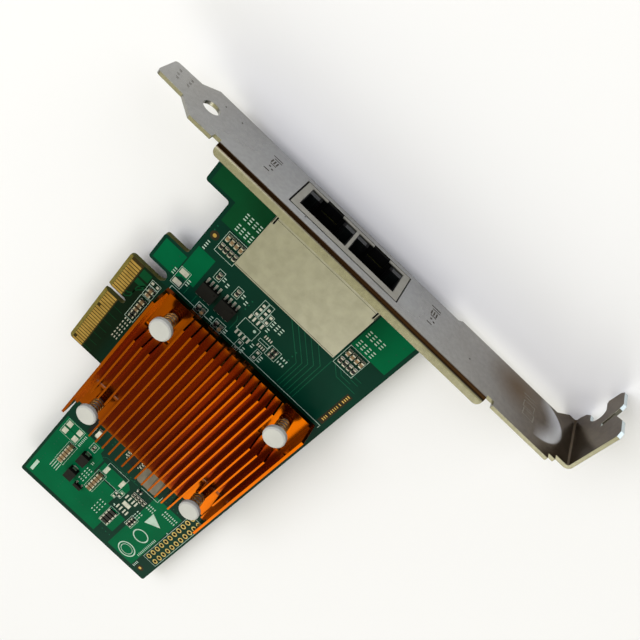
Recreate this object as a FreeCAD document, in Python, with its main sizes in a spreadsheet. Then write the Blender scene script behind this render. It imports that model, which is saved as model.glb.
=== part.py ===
import FreeCAD, Part
import os
import re
import Sketcher

# A network interface card with two cable jacks. Millimetres.
# X runs along the card away from the bracket, Y away from the edge contacts,
# Z out of the component side. The origin is the middle of the key slot on the
# connector's bottom edge, in the component side's surface.

doc = FreeCAD.newDocument("network_card")
sheet = doc.addObject("Spreadsheet::Sheet", "sizes")

# The named values: plain numbers, or formulas of the ones above them.
SIZES = {
    # Circuit board
    "board_thick": 1.57,
    "board_right": 78.6,
    "board_top": 65.5,
    "body_bottom": 13.3,
    "connector_left": -12.95,
    "connector_right": 22.0,
    "key_width": 1.9,
    "key_depth": 6.4,
    "guard_left": -16.2,
    "guard_top": 10.8,
    "hook_left": -24.8,
    "hook_bottom": 3.7,
    "recess_left": -43.2,
    "recess_top": 10.85,
    "foot_bottom": 3.2,
    "corner_round": 0.8,
    "slot_flat": 0.01,
    "bevel_long": 1.0,
    "bevel_deep": 0.4,

    # Edge contacts and the unfitted header
    "copper": 0.035,
    "contact_pitch": 1.0,
    "contact_wide": 0.7,
    "contact_low": 1.05,
    "contact_high": 4.4,
    "contact_short_low": 1.95,
    "contact_in": 1.45,
    "contact_first": "connector_left + contact_in",
    "contact_past_key": 1.5,
    "header_pitch": 2.54,
    "header_first_x": 42.5,
    "header_in": 4.44,
    "header_low_y": "board_top - header_in",
    "header_bore": 1.0,
    "header_barrel": 1.1,
    "header_ring": 1.75,

    # Bracket
    "face_x": -60.26,
    "steel": 0.9,
    "face_inner_x": "face_x + steel",
    "bend_inner": 0.5,
    "bend_outer": "bend_inner + steel",
    "face_high": 14.84,
    "face_low": -3.58,
    "flange_wide": 2.86,
    "flange_edge_x": "face_x + flange_wide",
    "flange_lap": 0.1,
    "board_left": "flange_edge_x - flange_lap",
    "high_flange_low_y": 3.0,
    "high_flange_top_y": 78.8,
    "low_flange_low_y": -1.2,
    "low_flange_top_y": "board_top",
    "flange_round": 1.3,
    "step_long": 1.1,
    "relief": 1.9,
    "relief_deep": 1.7,
    "tongue_round": 1.0,
    "tongue_tip_y": -16.9,
    "tongue_mid": 5.6,
    "tongue_tip_half": 4.3,
    "tongue_root_half": 4.65,
    "tongue_tip_long": 7.3,
    "tongue_root_y": "tongue_tip_y + tongue_tip_long",
    "tongue_hole_y": -4.0,
    "tongue_hole": 4.4,
    "tongue_hole_z": 5.8,
    "tab_y": 101.96,
    "tab_top_y": "tab_y + steel",
    "tab_low": -7.0,
    "tab_high": 11.3,
    "flare_back": 5.36,
    "flare_y": "tab_y - flare_back",
    "tab_reach": 13.49,
    "tab_end_x": "face_x - tab_reach",
    "slot_out": 4.43,
    "slot_near_x": "face_x - slot_out",
    "slot_wide": 4.42,
    "slot_closed_z": -1.1,
    "slot_flare": 2.0,
    "slot_flare_wide": 1.3,
    "prong_step": 0.8,
    "tab_bevel": 1.0,
    "notch_low": 0.7,
    "notch_in": 0.9,
    "notch_deep": 3.0,
    "notch_wide": 1.1,
    "notch_lip": 1.9,
    "notch_rise": 7.2,
    "lug_long": 7.9,
    "lug_wide": 8.0,
    "lug_in_low": 5.3,
    "lug_in_high": 6.7,
    "lug_low_y": "foot_bottom + lug_in_low",
    "lug_high_y": "board_top - lug_in_high",
    "lug_bore_in": 3.9,
    "lug_x": "flange_edge_x + lug_bore_in",
    "screw_shank": 2.9,
    "screw_head": 5.4,
    "screw_head_tall": 1.9,
    "screw_hole": 3.2,
    "screw_long": 3.4,
    "screw_recess": 1.1,
    "drive_long": 3.2,
    "drive_wide": 0.8,

    # Twin jack
    "shield": 0.25,
    "jack_proud": 0.04,
    "jack_front_x": "face_x - jack_proud",
    "jack_rear_x": -39.3,
    "jack_low_y": 21.4,
    "port_pitch": 13.9,
    "port_post": 0.8,
    "port_edge": 2.5,
    "jack_wide": "port_pitch * 2 + port_edge",
    "jack_mid_y": "jack_low_y + jack_wide / 2",
    "jack_tall": 11.3,
    "jack_lip_z": -0.65,
    "opening_gap": 0.3,
    "opening_gap_low": 0.4,
    "opening_low_y": "jack_low_y - opening_gap_low",
    "opening_high_y": "jack_low_y + jack_wide + opening_gap",
    "opening_low_z": "jack_lip_z - opening_gap",
    "opening_high_z": "jack_tall + opening_gap",
    "port_frame_wide": "port_pitch - port_post",
    "port_low_z": 0.4,
    "port_roof": 1.94,
    "port_high_z": "jack_tall - port_roof",
    "frame_lip": 0.25,
    "plug_wide": "port_frame_wide - 2 * frame_lip",
    "plug_low_z": 2.4,
    "port_deep": 12.0,
    "latch_wide": 4.6,
    "latch_track_wide": 6.6,
    "latch_low_z": -0.3,
    "latch_floor_z": 0.4,
    "housing_deep": 13.2,
    "lip_gap": 0.15,
    "pipe_wide": 2.6,
    "pipe_long": 9.0,
    "wire": 0.35,
    "wire_pitch": 1.02,
    "wire_front": 2.2,
    "wire_drop": 2.7,
    "slit_start": 3.9,
    "slit_long": 3.0,
    "slit_wide": 0.4,
    "solder_pin": 0.5,
    "solder_pin_hole": 0.9,
    "solder_pin_out": 1.4,
    "solder_pin_pitch": 2.3,
    "solder_row_near": 3.0,
    "solder_row_gap": 2.54,
    "peg_wide": 1.6,
    "peg_hole": 1.9,
    "peg_out": 1.4,
    "peg_x": 10.5,

    # Heatsink, what it cools, and what holds it
    "sink_x": 10.25,
    "sink_y": 37.75,
    "sink": 50.0,
    "sink_low": 1.75,
    "sink_base": 2.3,
    "sink_top": 10.25,
    "fin_pitch": 2.463,
    "fin": 0.5,
    "fin_edge": 0.75,
    "pocket_long": 10.0,
    "pocket_in": 15.7,
    "pocket_out": 23.6,
    "pocket_over_base": 1.35,
    "pocket_floor": "sink_low + pocket_over_base",
    "pocket_round": 3.0,
    "pin_offset_x": 19.9,
    "pin_offset_y": 19.1,
    "pin_head": 6.2,
    "pin_head_sunk": 1.35,
    "pin_head_low": "sink_top - pin_head_sunk",
    "pin_head_tall": 1.5,
    "pin_crown": 0.4,
    "pin_shaft": 2.3,
    "pin_hole": 3.0,
    "pin_barb": 4.0,
    "pin_barb_tall": 3.0,
    "pin_slit": 0.7,
    "spring_round": 3.2,
    "spring_wire": 0.45,
    "spring_turns": 5,
    "controller": 25.0,
    "controller_tall": 1.4,
    "thermal_sheet": 22.0,

    # Eight-lead chips
    "chip_long": 4.9,
    "chip_wide": 3.9,
    "chip_lift": 0.1,
    "chip_tall": 1.6,
    "lead_reach": 3.0,
    "lead_wide": 0.42,
    "lead_pitch": 1.27,
    "lead_sheet": 0.2,
    "lead_foot": 0.65,
    "lead_level": 0.75,
    "memory_x": -21.0,
    "memory_high_y": 26.8,
    "memory_low_y": 20.8,
    "regulator_gap": 1.7,
    "regulator_x": "sink_x + sink / 2 + regulator_gap + chip_long / 2",
    "regulator_y": 37.1,

    # Inductor, diodes, transistor, filter block
    "inductor_gap": 0.85,
    "inductor_y": 44.7,
    "inductor_long": 7.0,
    "inductor_x": "sink_x + sink / 2 + inductor_gap + inductor_long / 2",
    "inductor_wide": 7.5,
    "inductor_tall": 3.0,
    "inductor_round": 1.0,
    "inductor_terminal": 0.25,
    "inductor_terminal_long": 2.0,
    "inductor_terminal_wide": 3.0,
    "diode_first_x": 54.3,
    "diode_pitch": 8.6,
    "diode_y": 26.1,
    "diode_long": 4.3,
    "diode_wide": 3.1,
    "diode_tall": 2.2,
    "diode_lead": 0.2,
    "diode_lead_wide": 1.5,
    "diode_foot": 0.9,
    "transistor_x": 66.0,
    "transistor_y": 30.2,
    "transistor_long": 2.9,
    "transistor_wide": 1.3,
    "transistor_tall": 1.1,
    "transistor_reach": 1.2,
    "transistor_pitch": 0.95,
    "filter_gap": 1.95,
    "filter_long": 7.4,
    "filter_x": "sink_x + sink / 2 + filter_gap + filter_long / 2",
    "filter_y": 22.1,
    "filter_wide": 1.7,
    "filter_tall": 0.8,

    # Chip capacitors and resistors
    "large_long": 2.0,
    "large_wide": 1.25,
    "large_end": 0.4,
    "small_long": 1.6,
    "small_wide": 0.85,
    "small_end": 0.35,
    "resistor_tall": 0.5,
    "upper_row_x": 55.4,
    "upper_row_y": 33.0,
    "lower_row_x": 54.9,
    "lower_row_y": 20.9,
    "large_pitch": 1.73,
    "group_x": -36.2,
    "group_gap": 3.05,
    "group_high_y": 54.9,
    "group_low_y": 16.0,
    "group_pitch": 1.37,
    "edge_row_x": -8.9,
    "edge_row_y": 9.9,
    "edge_row_pitch": 1.5,
    "trio_x": 60.3,
    "trio_y": 49.6,
    "trio_pitch": 1.5,
    "column_x": 51.8,
    "column_y": 44.2,
    "column_pitch": 1.33,
    "side_x": 49.2,
    "side_y": 44.7,
    "quad_x": 64.2,
    "quad_y": 43.5,
    "quad_pitch": 1.83,
    "quad_long": 3.0,
    "memory_side_x": -26.5,
    "memory_side_shift": -0.55,
    "memory_other_x": -15.15,
    "memory_other_shift": 2.1,
    "memory_other_gap": 1.45,
    "pullup_x": -21.4,
    "pullup_y": 42.6,
    "feed_x": 48.8,
    "fuse_gap": 5.75,
    "fuse_long": 3.2,
    "fuse_x": "sink_x + sink / 2 + fuse_gap + fuse_long / 2",
    "fuse_y": 24.6,
    "fuse_wide": 1.6,
    "fuse_tall": 0.7,
    "fuse_end": 0.45,
}

for row, (name, given) in enumerate(SIZES.items(), 1):
    sheet.set("A%d" % row, name)
    sheet.set("B%d" % row, "=" + given if isinstance(given, str) else str(given))
    sheet.setAlias("B%d" % row, name)
doc.recompute()

PORTS = (-0.5, 0.5)
SIDES = (-1, 1)
START_RADIUS = 10.0  # millimetres, where a sketch's corners wait until they are tied
CONTACTS_BEFORE_KEY = 11
CONTACTS_AFTER_KEY = 21
HEADER_COLUMNS = 11
JACK_PINS_IN_ROW = 12
WIRES_IN_PORT = 8
FINS_EACH_WAY = 9
LEADS_ON_SIDE = 4


def bind(thing, path, formula):
    """Ties one property to a formula of the named sizes."""
    def named(found):
        word = found.group(0)
        return "sizes." + word if word in SIZES else word
    thing.setExpression(path, re.sub(r"[a-z][a-z_0-9]*", named, str(formula)))


def block(name, x_span, y_span, z_span):
    """A box between two formulas along each axis."""
    made = doc.addObject("Part::Box", name)
    for side, axis, span in (("Length", "x", x_span), ("Width", "y", y_span), ("Height", "z", z_span)):
        bind(made, side, "(%s) - (%s)" % (span[1], span[0]))
        bind(made, "Placement.Base." + axis, span[0])
    return made


def around(middle, whole):
    """The two ends of a length centred on a formula."""
    return "(%s) - (%s) / 2" % (middle, whole), "(%s) + (%s) / 2" % (middle, whole)


def peg(name, across, x, y, z_span):
    """An upright cylinder: its diameter, where it stands, and its two heights."""
    made = doc.addObject("Part::Cylinder", name)
    bind(made, "Radius", "(%s) / 2" % across)
    bind(made, "Height", "(%s) - (%s)" % (z_span[1], z_span[0]))
    bind(made, "Placement.Base.x", x)
    bind(made, "Placement.Base.y", y)
    bind(made, "Placement.Base.z", z_span[0])
    return made


def cone(name, low_across, high_across, x, y, z_span):
    """An upright cone with its two diameters."""
    made = doc.addObject("Part::Cone", name)
    bind(made, "Radius1", "(%s) / 2" % low_across)
    bind(made, "Radius2", "(%s) / 2" % high_across)
    bind(made, "Height", "(%s) - (%s)" % (z_span[1], z_span[0]))
    bind(made, "Placement.Base.x", x)
    bind(made, "Placement.Base.y", y)
    bind(made, "Placement.Base.z", z_span[0])
    return made


def fuse(name, things):
    """Several shapes joined into one."""
    made = doc.addObject("Part::MultiFuse", name)
    made.Shapes = things
    return made


def group(name, things):
    """Separate solids kept together."""
    made = doc.addObject("Part::Compound", name)
    made.Links = things
    return made


def cut(name, base, tool):
    """One shape with another taken away."""
    made = doc.addObject("Part::Cut", name)
    made.Base = base
    made.Tool = tool
    return made


def sketch_in(body, name, role, offset, points):
    """A closed outline on one of the body's planes, every corner tied to two formulas."""
    drawn = body.newObject("Sketcher::SketchObject", name)
    plane = [one for one in body.Origin.OriginFeatures if one.Role == role][0]
    drawn.AttachmentSupport = (plane, [""])
    drawn.MapMode = "FlatFace"
    bind(drawn, "AttachmentOffset.Base.z", offset)
    count = len(points)
    spin = FreeCAD.Rotation(FreeCAD.Vector(0, 0, 1), 360.0 / count)
    corner = FreeCAD.Vector(START_RADIUS, 0, 0)
    for index in range(count):
        after = spin.multVec(corner)
        drawn.addGeometry(Part.LineSegment(corner, after), False)
        corner = after
    for index in range(count):
        drawn.addConstraint(Sketcher.Constraint("Coincident", index, 2, (index + 1) % count, 1))
    for index, point in enumerate(points):
        for kind, formula in zip(("DistanceX", "DistanceY"), point):
            number = drawn.addConstraint(Sketcher.Constraint(kind, -1, 1, index, 1, 1.0))
            bind(drawn, "Constraints[%d]" % number, formula)
    return drawn


def pad(body, drawn, name, depth):
    """The outline given a thickness along its plane's normal."""
    made = body.newObject("PartDesign::Pad", name)
    made.Profile = drawn
    bind(made, "Length", depth)
    return made


def new_body(name):
    """An empty body for one sub-part."""
    return doc.addObject("PartDesign::Body", name)


def add_block(body, name, x_span, y_span, z_span):
    """A box joined to what the body already has."""
    made = body.newObject("PartDesign::AdditiveBox", name)
    for side, axis, span in (("Length", "x", x_span), ("Width", "y", y_span), ("Height", "z", z_span)):
        bind(made, side, "(%s) - (%s)" % (span[1], span[0]))
        bind(made, "Placement.Base." + axis, span[0])
    return made


def round_edges(body, name, radius, wanted):
    """Rounds the newest feature's edges that the test picks out."""
    doc.recompute()
    base = body.Tip
    names = []
    for number, edge in enumerate(base.Shape.Edges, 1):
        if wanted(edge):
            names.append("Edge%d" % number)
    made = body.newObject("PartDesign::Fillet", name)
    made.Base = (base, names)
    bind(made, "Radius", radius)
    return made


def value(name):
    """The number a named size has now."""
    return float(sheet.get(name))


def edges_at(first, second, *corners):
    """Picks out the edges square to two axes at the given corners."""
    def wanted(edge):
        ends = [(getattr(one.Point, first), getattr(one.Point, second)) for one in edge.Vertexes]
        if len(ends) != 2 or abs(ends[0][0] - ends[1][0]) + abs(ends[0][1] - ends[1][1]) > 1e-6:
            return False
        return any(abs(ends[0][0] - a) + abs(ends[0][1] - b) < 1e-4 for a, b in corners)
    return wanted


def finish(made, label):
    """Names a finished sub-part; the name is also its file's."""
    made.Label = label
    parts.append(made)


parts = []


def make_board():
    """The laminate: outline, rounded corners, bevelled connector edge and drilled holes."""
    body = new_body("board_body")
    half_key = "key_width / 2"
    outline = (
        ("connector_left", "0"), ("-" + half_key, "0"), ("-" + half_key, "key_depth"),
        (half_key, "key_depth"), (half_key, "0"), ("connector_right", "0"),
        ("connector_right", "body_bottom"), ("board_right", "body_bottom"),
        ("board_right", "board_top"), ("board_left", "board_top"),
        ("board_left", "foot_bottom"), ("recess_left", "foot_bottom"),
        ("recess_left", "recess_top"), ("hook_left", "recess_top"),
        ("hook_left", "hook_bottom"), ("guard_left", "hook_bottom"),
        ("guard_left", "guard_top"), ("connector_left", "guard_top"),
    )
    drawn = sketch_in(body, "board_outline", "XY_Plane", "-board_thick", outline)
    pad(body, drawn, "board_sheet", "board_thick")
    key_corners = [(value("key_width") / 2 * side, value("key_depth")) for side in SIDES]
    round_edges(body, "key_round", "key_width / 2 - slot_flat", edges_at("x", "y", *key_corners))
    guard_corners = (
        (value("guard_left"), value("guard_top")),
        (value("connector_left"), value("guard_top")),
    )
    guard_radius = "(connector_left - guard_left) / 2 - slot_flat"
    round_edges(body, "guard_round", guard_radius, edges_at("x", "y", *guard_corners))
    plain_corners = (
        (value("connector_left"), 0), (value("connector_right"), 0),
        (value("board_right"), value("body_bottom")), (value("board_right"), value("board_top")),
        (value("recess_left"), value("foot_bottom")), (value("recess_left"), value("recess_top")),
        (value("hook_left"), value("recess_top")), (value("hook_left"), value("hook_bottom")),
        (value("guard_left"), value("hook_bottom")), (value("connector_right"), value("body_bottom")),
    )
    round_edges(body, "corner_rounds", "corner_round", edges_at("x", "y", *plain_corners))

    tools = []
    bevels = (("top", "0", "-bevel_deep"), ("under", "-board_thick", "-board_thick + bevel_deep"))
    for name, low, high in bevels:
        wedge = new_body("bevel_" + name)
        corners = (("0", low), ("bevel_long", low), ("0", high))
        drawn = sketch_in(wedge, "bevel_outline_" + name, "YZ_Plane", "connector_left", corners)
        pad(wedge, drawn, "bevel_cut_" + name, "connector_right - connector_left")
        tools.append(wedge)
    through = ("-board_thick", "0")
    for number, (x, y) in enumerate(header_places()):
        tools.append(peg("header_drill_%d" % number, "header_barrel", x, y, through))
    for number, (x, y) in enumerate(push_pin_places()):
        tools.append(peg("push_pin_drill_%d" % number, "pin_hole", x, y, through))
    for number, (x, y) in enumerate(solder_pin_places()):
        tools.append(peg("solder_drill_%d" % number, "solder_pin_hole", x, y, through))
    for number, (x, y) in enumerate(shield_peg_places()):
        tools.append(peg("peg_drill_%d" % number, "peg_hole", x, y, through))
    for number, (x, y) in enumerate(screw_places()):
        tools.append(peg("screw_drill_%d" % number, "screw_hole", x, y, through))
    finish(cut("board", body, group("board_cuts", tools)), "circuit_board")


def header_places():
    """Eleven columns of two holes."""
    return [
        ("header_first_x + header_pitch * %d" % column, "header_low_y + header_pitch * %d" % row)
        for row in range(2)
        for column in range(HEADER_COLUMNS)
    ]


def push_pin_places():
    """The four corners of the heatsink where the push pins stand."""
    return [
        ("sink_x + pin_offset_x * %d" % side_x, "sink_y + pin_offset_y * %d" % side_y)
        for side_x in SIDES
        for side_y in SIDES
    ]


def solder_pin_places():
    """Two rows of twelve pins under the rear of the jack."""
    return [
        (
            "jack_rear_x - solder_row_near - solder_row_gap * %d" % row,
            "jack_mid_y + solder_pin_pitch * %s" % (column - (JACK_PINS_IN_ROW - 1) / 2),
        )
        for row in range(2)
        for column in range(JACK_PINS_IN_ROW)
    ]


def shield_peg_places():
    """Two pegs in each side wall of the shield."""
    return [
        ("jack_front_x + peg_x", "jack_mid_y + (jack_wide - shield) / 2 * %d" % side)
        for side in SIDES
    ]


def screw_places():
    """The two screws that hold the bracket's lugs."""
    return [("lug_x", "lug_low_y"), ("lug_x", "lug_high_y")]


def make_edge_contacts():
    """Thirty-two gold contacts on each side of the connector."""
    places = []
    for index in range(CONTACTS_BEFORE_KEY):
        places.append((index + 1, "contact_first + contact_pitch * %d" % index))
    for index in range(CONTACTS_AFTER_KEY):
        number = CONTACTS_BEFORE_KEY + index + 1
        places.append((number, "contact_past_key + contact_pitch * %d" % index))
    faces = (
        ("component_side", ("0", "copper"), (17, 31)),
        ("solder_side", ("-board_thick - copper", "-board_thick"), (1,)),
    )
    for side, heights, short in faces:
        strips = []
        for number, x in places:
            low = "contact_short_low" if number in short else "contact_low"
            name = "contact_%s_%d" % (side, number)
            strips.append(block(name, around(x, "contact_wide"), (low, "contact_high"), heights))
        finish(group("contacts_" + side, strips), "edge_contacts_" + side)


def make_header_holes():
    """Plated holes with a ring on each face."""
    sleeves = []
    for number, (x, y) in enumerate(header_places()):
        barrel = peg("barrel_%d" % number, "header_barrel", x, y, ("-board_thick", "0"))
        upper = peg("ring_up_%d" % number, "header_ring", x, y, ("0", "copper"))
        lower = peg("ring_low_%d" % number, "header_ring", x, y, ("-board_thick - copper", "-board_thick"))
        solid = fuse("sleeve_%d" % number, [barrel, upper, lower])
        bore = peg("bore_%d" % number, "header_bore", x, y, ("-board_thick - copper", "copper"))
        sleeves.append(cut("plated_%d" % number, solid, bore))
    finish(group("plated_set", sleeves), "header_plated_holes")


def fold(x, other, axis, long_side):
    """Picks out one edge of a fold: its place in x and along one more axis, and its length."""
    def wanted(edge):
        ends = [one.Point for one in edge.Vertexes]
        if len(ends) != 2 or abs((ends[1] - ends[0]).Length - long_side) > 1e-4:
            return False
        return all(abs(end.x - x) + abs(getattr(end, axis) - other) < 1e-4 for end in ends)
    return wanted


def make_bracket():
    """One sheet: face, tongue, two folded flanges with lugs, and the screw tab."""
    body = new_body("bracket_body")
    edge_low = "-board_thick - steel"
    outline = (
        ("tongue_tip_y", "tongue_mid - tongue_tip_half"),
        ("tongue_root_y", "tongue_mid - tongue_root_half"),
        ("tongue_root_y + (tongue_mid - tongue_root_half + board_thick + steel)", edge_low),
        ("low_flange_top_y + step_long / 2", edge_low),
        ("low_flange_top_y + step_long * 1.5", "face_low"),
        ("flare_y", "face_low"),
        ("flare_y + (face_low - tab_low)", "tab_low"),
        ("tab_top_y", "tab_low"),
        ("tab_top_y", "tab_high"),
        ("flare_y + relief", "tab_high"),
        ("flare_y + relief", "tab_high + relief_deep"),
        ("flare_y", "tab_high + relief_deep"),
        ("flare_y", "face_high"),
        ("high_flange_top_y + relief", "face_high"),
        ("high_flange_top_y + relief", "face_high - relief_deep"),
        ("high_flange_top_y", "face_high - relief_deep"),
        ("high_flange_top_y", "face_high"),
        ("high_flange_low_y", "face_high"),
        ("high_flange_low_y", "face_high - relief_deep"),
        ("high_flange_low_y - relief", "face_high - relief_deep"),
        ("high_flange_low_y - relief", "face_high"),
        ("tongue_root_y + (face_high - tongue_mid - tongue_root_half)", "face_high"),
        ("tongue_root_y", "tongue_mid + tongue_root_half"),
        ("tongue_tip_y", "tongue_mid + tongue_tip_half"),
    )
    drawn = sketch_in(body, "face_outline", "YZ_Plane", "face_x", outline)
    pad(body, drawn, "face_sheet", "steel")
    flange = ("face_x", "flange_edge_x")
    high_span = ("high_flange_low_y", "high_flange_top_y")
    low_span = ("low_flange_low_y", "low_flange_top_y")
    low_heights = (edge_low, "-board_thick")
    add_block(body, "high_flange", flange, high_span, ("face_high - steel", "face_high"))
    add_block(body, "low_flange", flange, low_span, low_heights)
    for number, (x, y) in enumerate(screw_places()):
        lug = ("face_inner_x", "face_x + flange_wide + lug_long")
        add_block(body, "lug_%d" % number, lug, around(y, "lug_wide"), low_heights)
    tab = (
        ("face_inner_x", "tab_low"),
        ("face_x - bend_outer", "tab_low"),
        ("slot_near_x + slot_flare_wide", "tab_low + slot_flare / 4"),
        ("slot_near_x", "tab_low + slot_flare"),
        ("slot_near_x", "slot_closed_z"),
        ("slot_near_x - slot_wide", "slot_closed_z"),
        ("slot_near_x - slot_wide", "tab_low + prong_step * 2"),
        ("slot_near_x - slot_wide - prong_step / 2", "tab_low + prong_step"),
        ("tab_end_x + tab_bevel", "tab_low + prong_step"),
        ("tab_end_x", "tab_low + prong_step * 2"),
        ("tab_end_x", "slot_closed_z + notch_low"),
        ("tab_end_x + tab_bevel", "slot_closed_z + notch_low * 2"),
        ("slot_near_x - slot_wide + notch_in", "slot_closed_z + notch_deep"),
        ("slot_near_x - slot_wide + notch_wide", "slot_closed_z + notch_deep + notch_wide"),
        ("tab_end_x + notch_lip", "slot_closed_z + notch_deep * 1.1"),
        ("tab_end_x", "slot_closed_z + notch_rise"),
        ("tab_end_x", "tab_high - tab_bevel"),
        ("tab_end_x + tab_bevel", "tab_high"),
        ("face_inner_x", "tab_high"),
    )
    drawn = sketch_in(body, "tab_outline", "XZ_Plane", "-tab_top_y", tab)
    pad(body, drawn, "tab_sheet", "steel")

    outer_x = value("face_x")
    inner_x = value("face_inner_x")
    high_z = value("face_high")
    flange_long = value("high_flange_top_y") - value("high_flange_low_y")
    tab_long = value("tab_high") - value("tab_low")
    inner_high = high_z - value("steel")
    round_edges(body, "high_fold_inner", "bend_inner", fold(inner_x, inner_high, "z", flange_long))
    round_edges(body, "high_fold_outer", "bend_outer", fold(outer_x, high_z, "z", flange_long))
    round_edges(body, "tab_fold_inner", "bend_inner", fold(outer_x, value("tab_y"), "y", tab_long))
    round_edges(body, "tab_fold_outer", "bend_outer", fold(inner_x, value("tab_top_y"), "y", tab_long))
    free_x = value("flange_edge_x")
    flange_corners = ((free_x, value("high_flange_low_y")), (free_x, value("high_flange_top_y")))
    round_edges(body, "flange_corners", "flange_round", edges_at("x", "y", *flange_corners))
    tip_half = value("tongue_tip_half")
    tip_corners = [(value("tongue_tip_y"), value("tongue_mid") + tip_half * side) for side in SIDES]
    round_edges(body, "tongue_corners", "tongue_round", edges_at("y", "z", *tip_corners))
    closed_z = value("slot_closed_z")
    slot_corners = [(value("slot_near_x") - value("slot_wide") * share, closed_z) for share in (0, 1)]
    round_edges(body, "slot_round", "slot_wide / 2 - slot_flat", edges_at("x", "z", *slot_corners))

    tools = [
        block(
            "jack_opening",
            ("face_x - steel", "face_inner_x + steel"),
            ("opening_low_y", "opening_high_y"),
            ("opening_low_z", "opening_high_z"),
        )
    ]
    hole = doc.addObject("Part::Cylinder", "tongue_bore")
    bind(hole, "Radius", "tongue_hole / 2")
    bind(hole, "Height", "steel * 3")
    hole.Placement.Rotation = FreeCAD.Rotation(FreeCAD.Vector(0, 1, 0), 90)
    bind(hole, "Placement.Base.x", "face_x - steel")
    bind(hole, "Placement.Base.y", "tongue_hole_y")
    bind(hole, "Placement.Base.z", "tongue_hole_z")
    tools.append(hole)
    for number, (x, y) in enumerate(screw_places()):
        tools.append(peg("lug_bore_%d" % number, "screw_shank", x, y, (edge_low, "-board_thick")))
    finish(cut("bracket", body, group("bracket_cuts", tools)), "io_bracket")


def make_screws():
    """Two pan-head screws through the board into the lugs."""
    screws = []
    for number, (x, y) in enumerate(screw_places()):
        shank = peg("shank_%d" % number, "screw_shank", x, y, ("-screw_long", "0"))
        head = peg("pan_%d" % number, "screw_head", x, y, ("0", "screw_head_tall"))
        joined = fuse("screw_%d" % number, [shank, head])
        slots = []
        for turn in (0, 1):
            sides = ("drive_long", "drive_wide") if turn == 0 else ("drive_wide", "drive_long")
            depths = ("screw_head_tall - screw_recess", "screw_head_tall")
            name = "drive_%d_%d" % (number, turn)
            slots.append(block(name, around(x, sides[0]), around(y, sides[1]), depths))
        screws.append(cut("screw_cut_%d" % number, joined, fuse("drive_%d" % number, slots)))
    finish(group("screws", screws), "bracket_screws")


def port_middle(port):
    """The middle of one port across the jack."""
    return "jack_mid_y + port_pitch * %s" % port


def make_shield():
    """The jack's metal shield: a shell with a front frame, two port openings and pegs."""
    across = around("jack_mid_y", "jack_wide")
    shell = block("shell", ("jack_front_x", "jack_rear_x"), across, ("0", "jack_tall"))
    lip = block("front_lip", ("jack_front_x", "jack_front_x + shield"), across, ("jack_lip_z", "0"))
    pegs = []
    for number, (x, y) in enumerate(shield_peg_places()):
        pegs.append(
            block(
                "shield_peg_%d" % number,
                around(x, "peg_wide"),
                around(y, "shield"),
                ("-board_thick - peg_out", "0"),
            )
        )
    outside = fuse("shell_outside", [shell, lip] + pegs)
    tools = [
        block(
            "shell_inside",
            ("jack_front_x + shield", "jack_rear_x - shield"),
            around("jack_mid_y", "jack_wide - 2 * shield"),
            ("0", "jack_tall - shield"),
        )
    ]
    front = ("jack_front_x", "jack_front_x + shield")
    for number, port in enumerate(PORTS):
        middle = port_middle(port)
        frame = around(middle, "port_frame_wide")
        tools.append(block("port_opening_%d" % number, front, frame, ("port_low_z", "port_high_z")))
        gap = around(middle, "latch_wide")
        tools.append(block("latch_opening_%d" % number, front, gap, ("jack_lip_z", "port_low_z")))
    for number, side in enumerate(SIDES):
        middle = "jack_mid_y + (jack_wide / 2 - slit_wide * 1.5) * %d" % side
        start = "jack_front_x + slit_start"
        tools.append(
            block(
                "spring_slit_%d" % number,
                (start, start + " + slit_long"),
                around(middle, "slit_wide"),
                ("jack_tall - shield", "jack_tall"),
            )
        )
    finish(cut("shield_shell", outside, fuse("shield_cuts", tools)), "jack_shield")


def make_housing():
    """The jack's plastic housing with two plug cavities, latch tracks and pipe channels."""
    front = "jack_front_x + shield"
    inside = around("jack_mid_y", "jack_wide - 2 * shield")
    main = block("housing_block", (front, front + " + housing_deep"), inside, ("0", "jack_tall - shield"))
    apron = block("housing_apron", (front, "board_left - lip_gap"), inside, ("jack_lip_z", "0"))
    whole = fuse("housing_outside", [main, apron])
    back = front + " + port_deep"
    tools = []
    for number, port in enumerate(PORTS):
        middle = port_middle(port)
        tools.append(
            block(
                "plug_cavity_%d" % number,
                (front, back),
                around(middle, "plug_wide"),
                ("plug_low_z", "port_high_z"),
            )
        )
        tools.append(
            block(
                "latch_track_%d" % number,
                (front, back),
                around(middle, "latch_track_wide"),
                ("latch_floor_z", "plug_low_z"),
            )
        )
        tools.append(
            block(
                "latch_mouth_%d" % number,
                (front, "board_left - lip_gap"),
                around(middle, "latch_wide"),
                ("latch_low_z", "latch_floor_z"),
            )
        )
        for side in SIDES:
            pipe = "(%s) + (port_frame_wide - pipe_wide) / 2 * %d" % (middle, side)
            tools.append(
                block(
                    "pipe_channel_%d_%d" % (number, side + 1),
                    (front, front + " + pipe_long"),
                    around(pipe, "pipe_wide"),
                    ("port_low_z", "plug_low_z"),
                )
            )
    finish(cut("housing", whole, fuse("housing_cuts", tools)), "jack_housing")


def make_light_pipes():
    """Two light pipes beside each latch track."""
    front = "jack_front_x + shield"
    pipes = []
    for number, port in enumerate(PORTS):
        for side in SIDES:
            middle = "(%s) + (port_frame_wide - pipe_wide) / 2 * %d" % (port_middle(port), side)
            pipes.append(
                block(
                    "light_pipe_%d_%d" % (number, side + 1),
                    (front, front + " + pipe_long"),
                    around(middle, "pipe_wide"),
                    ("port_low_z", "plug_low_z"),
                )
            )
    finish(group("light_pipes", pipes), "jack_light_pipes")


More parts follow.
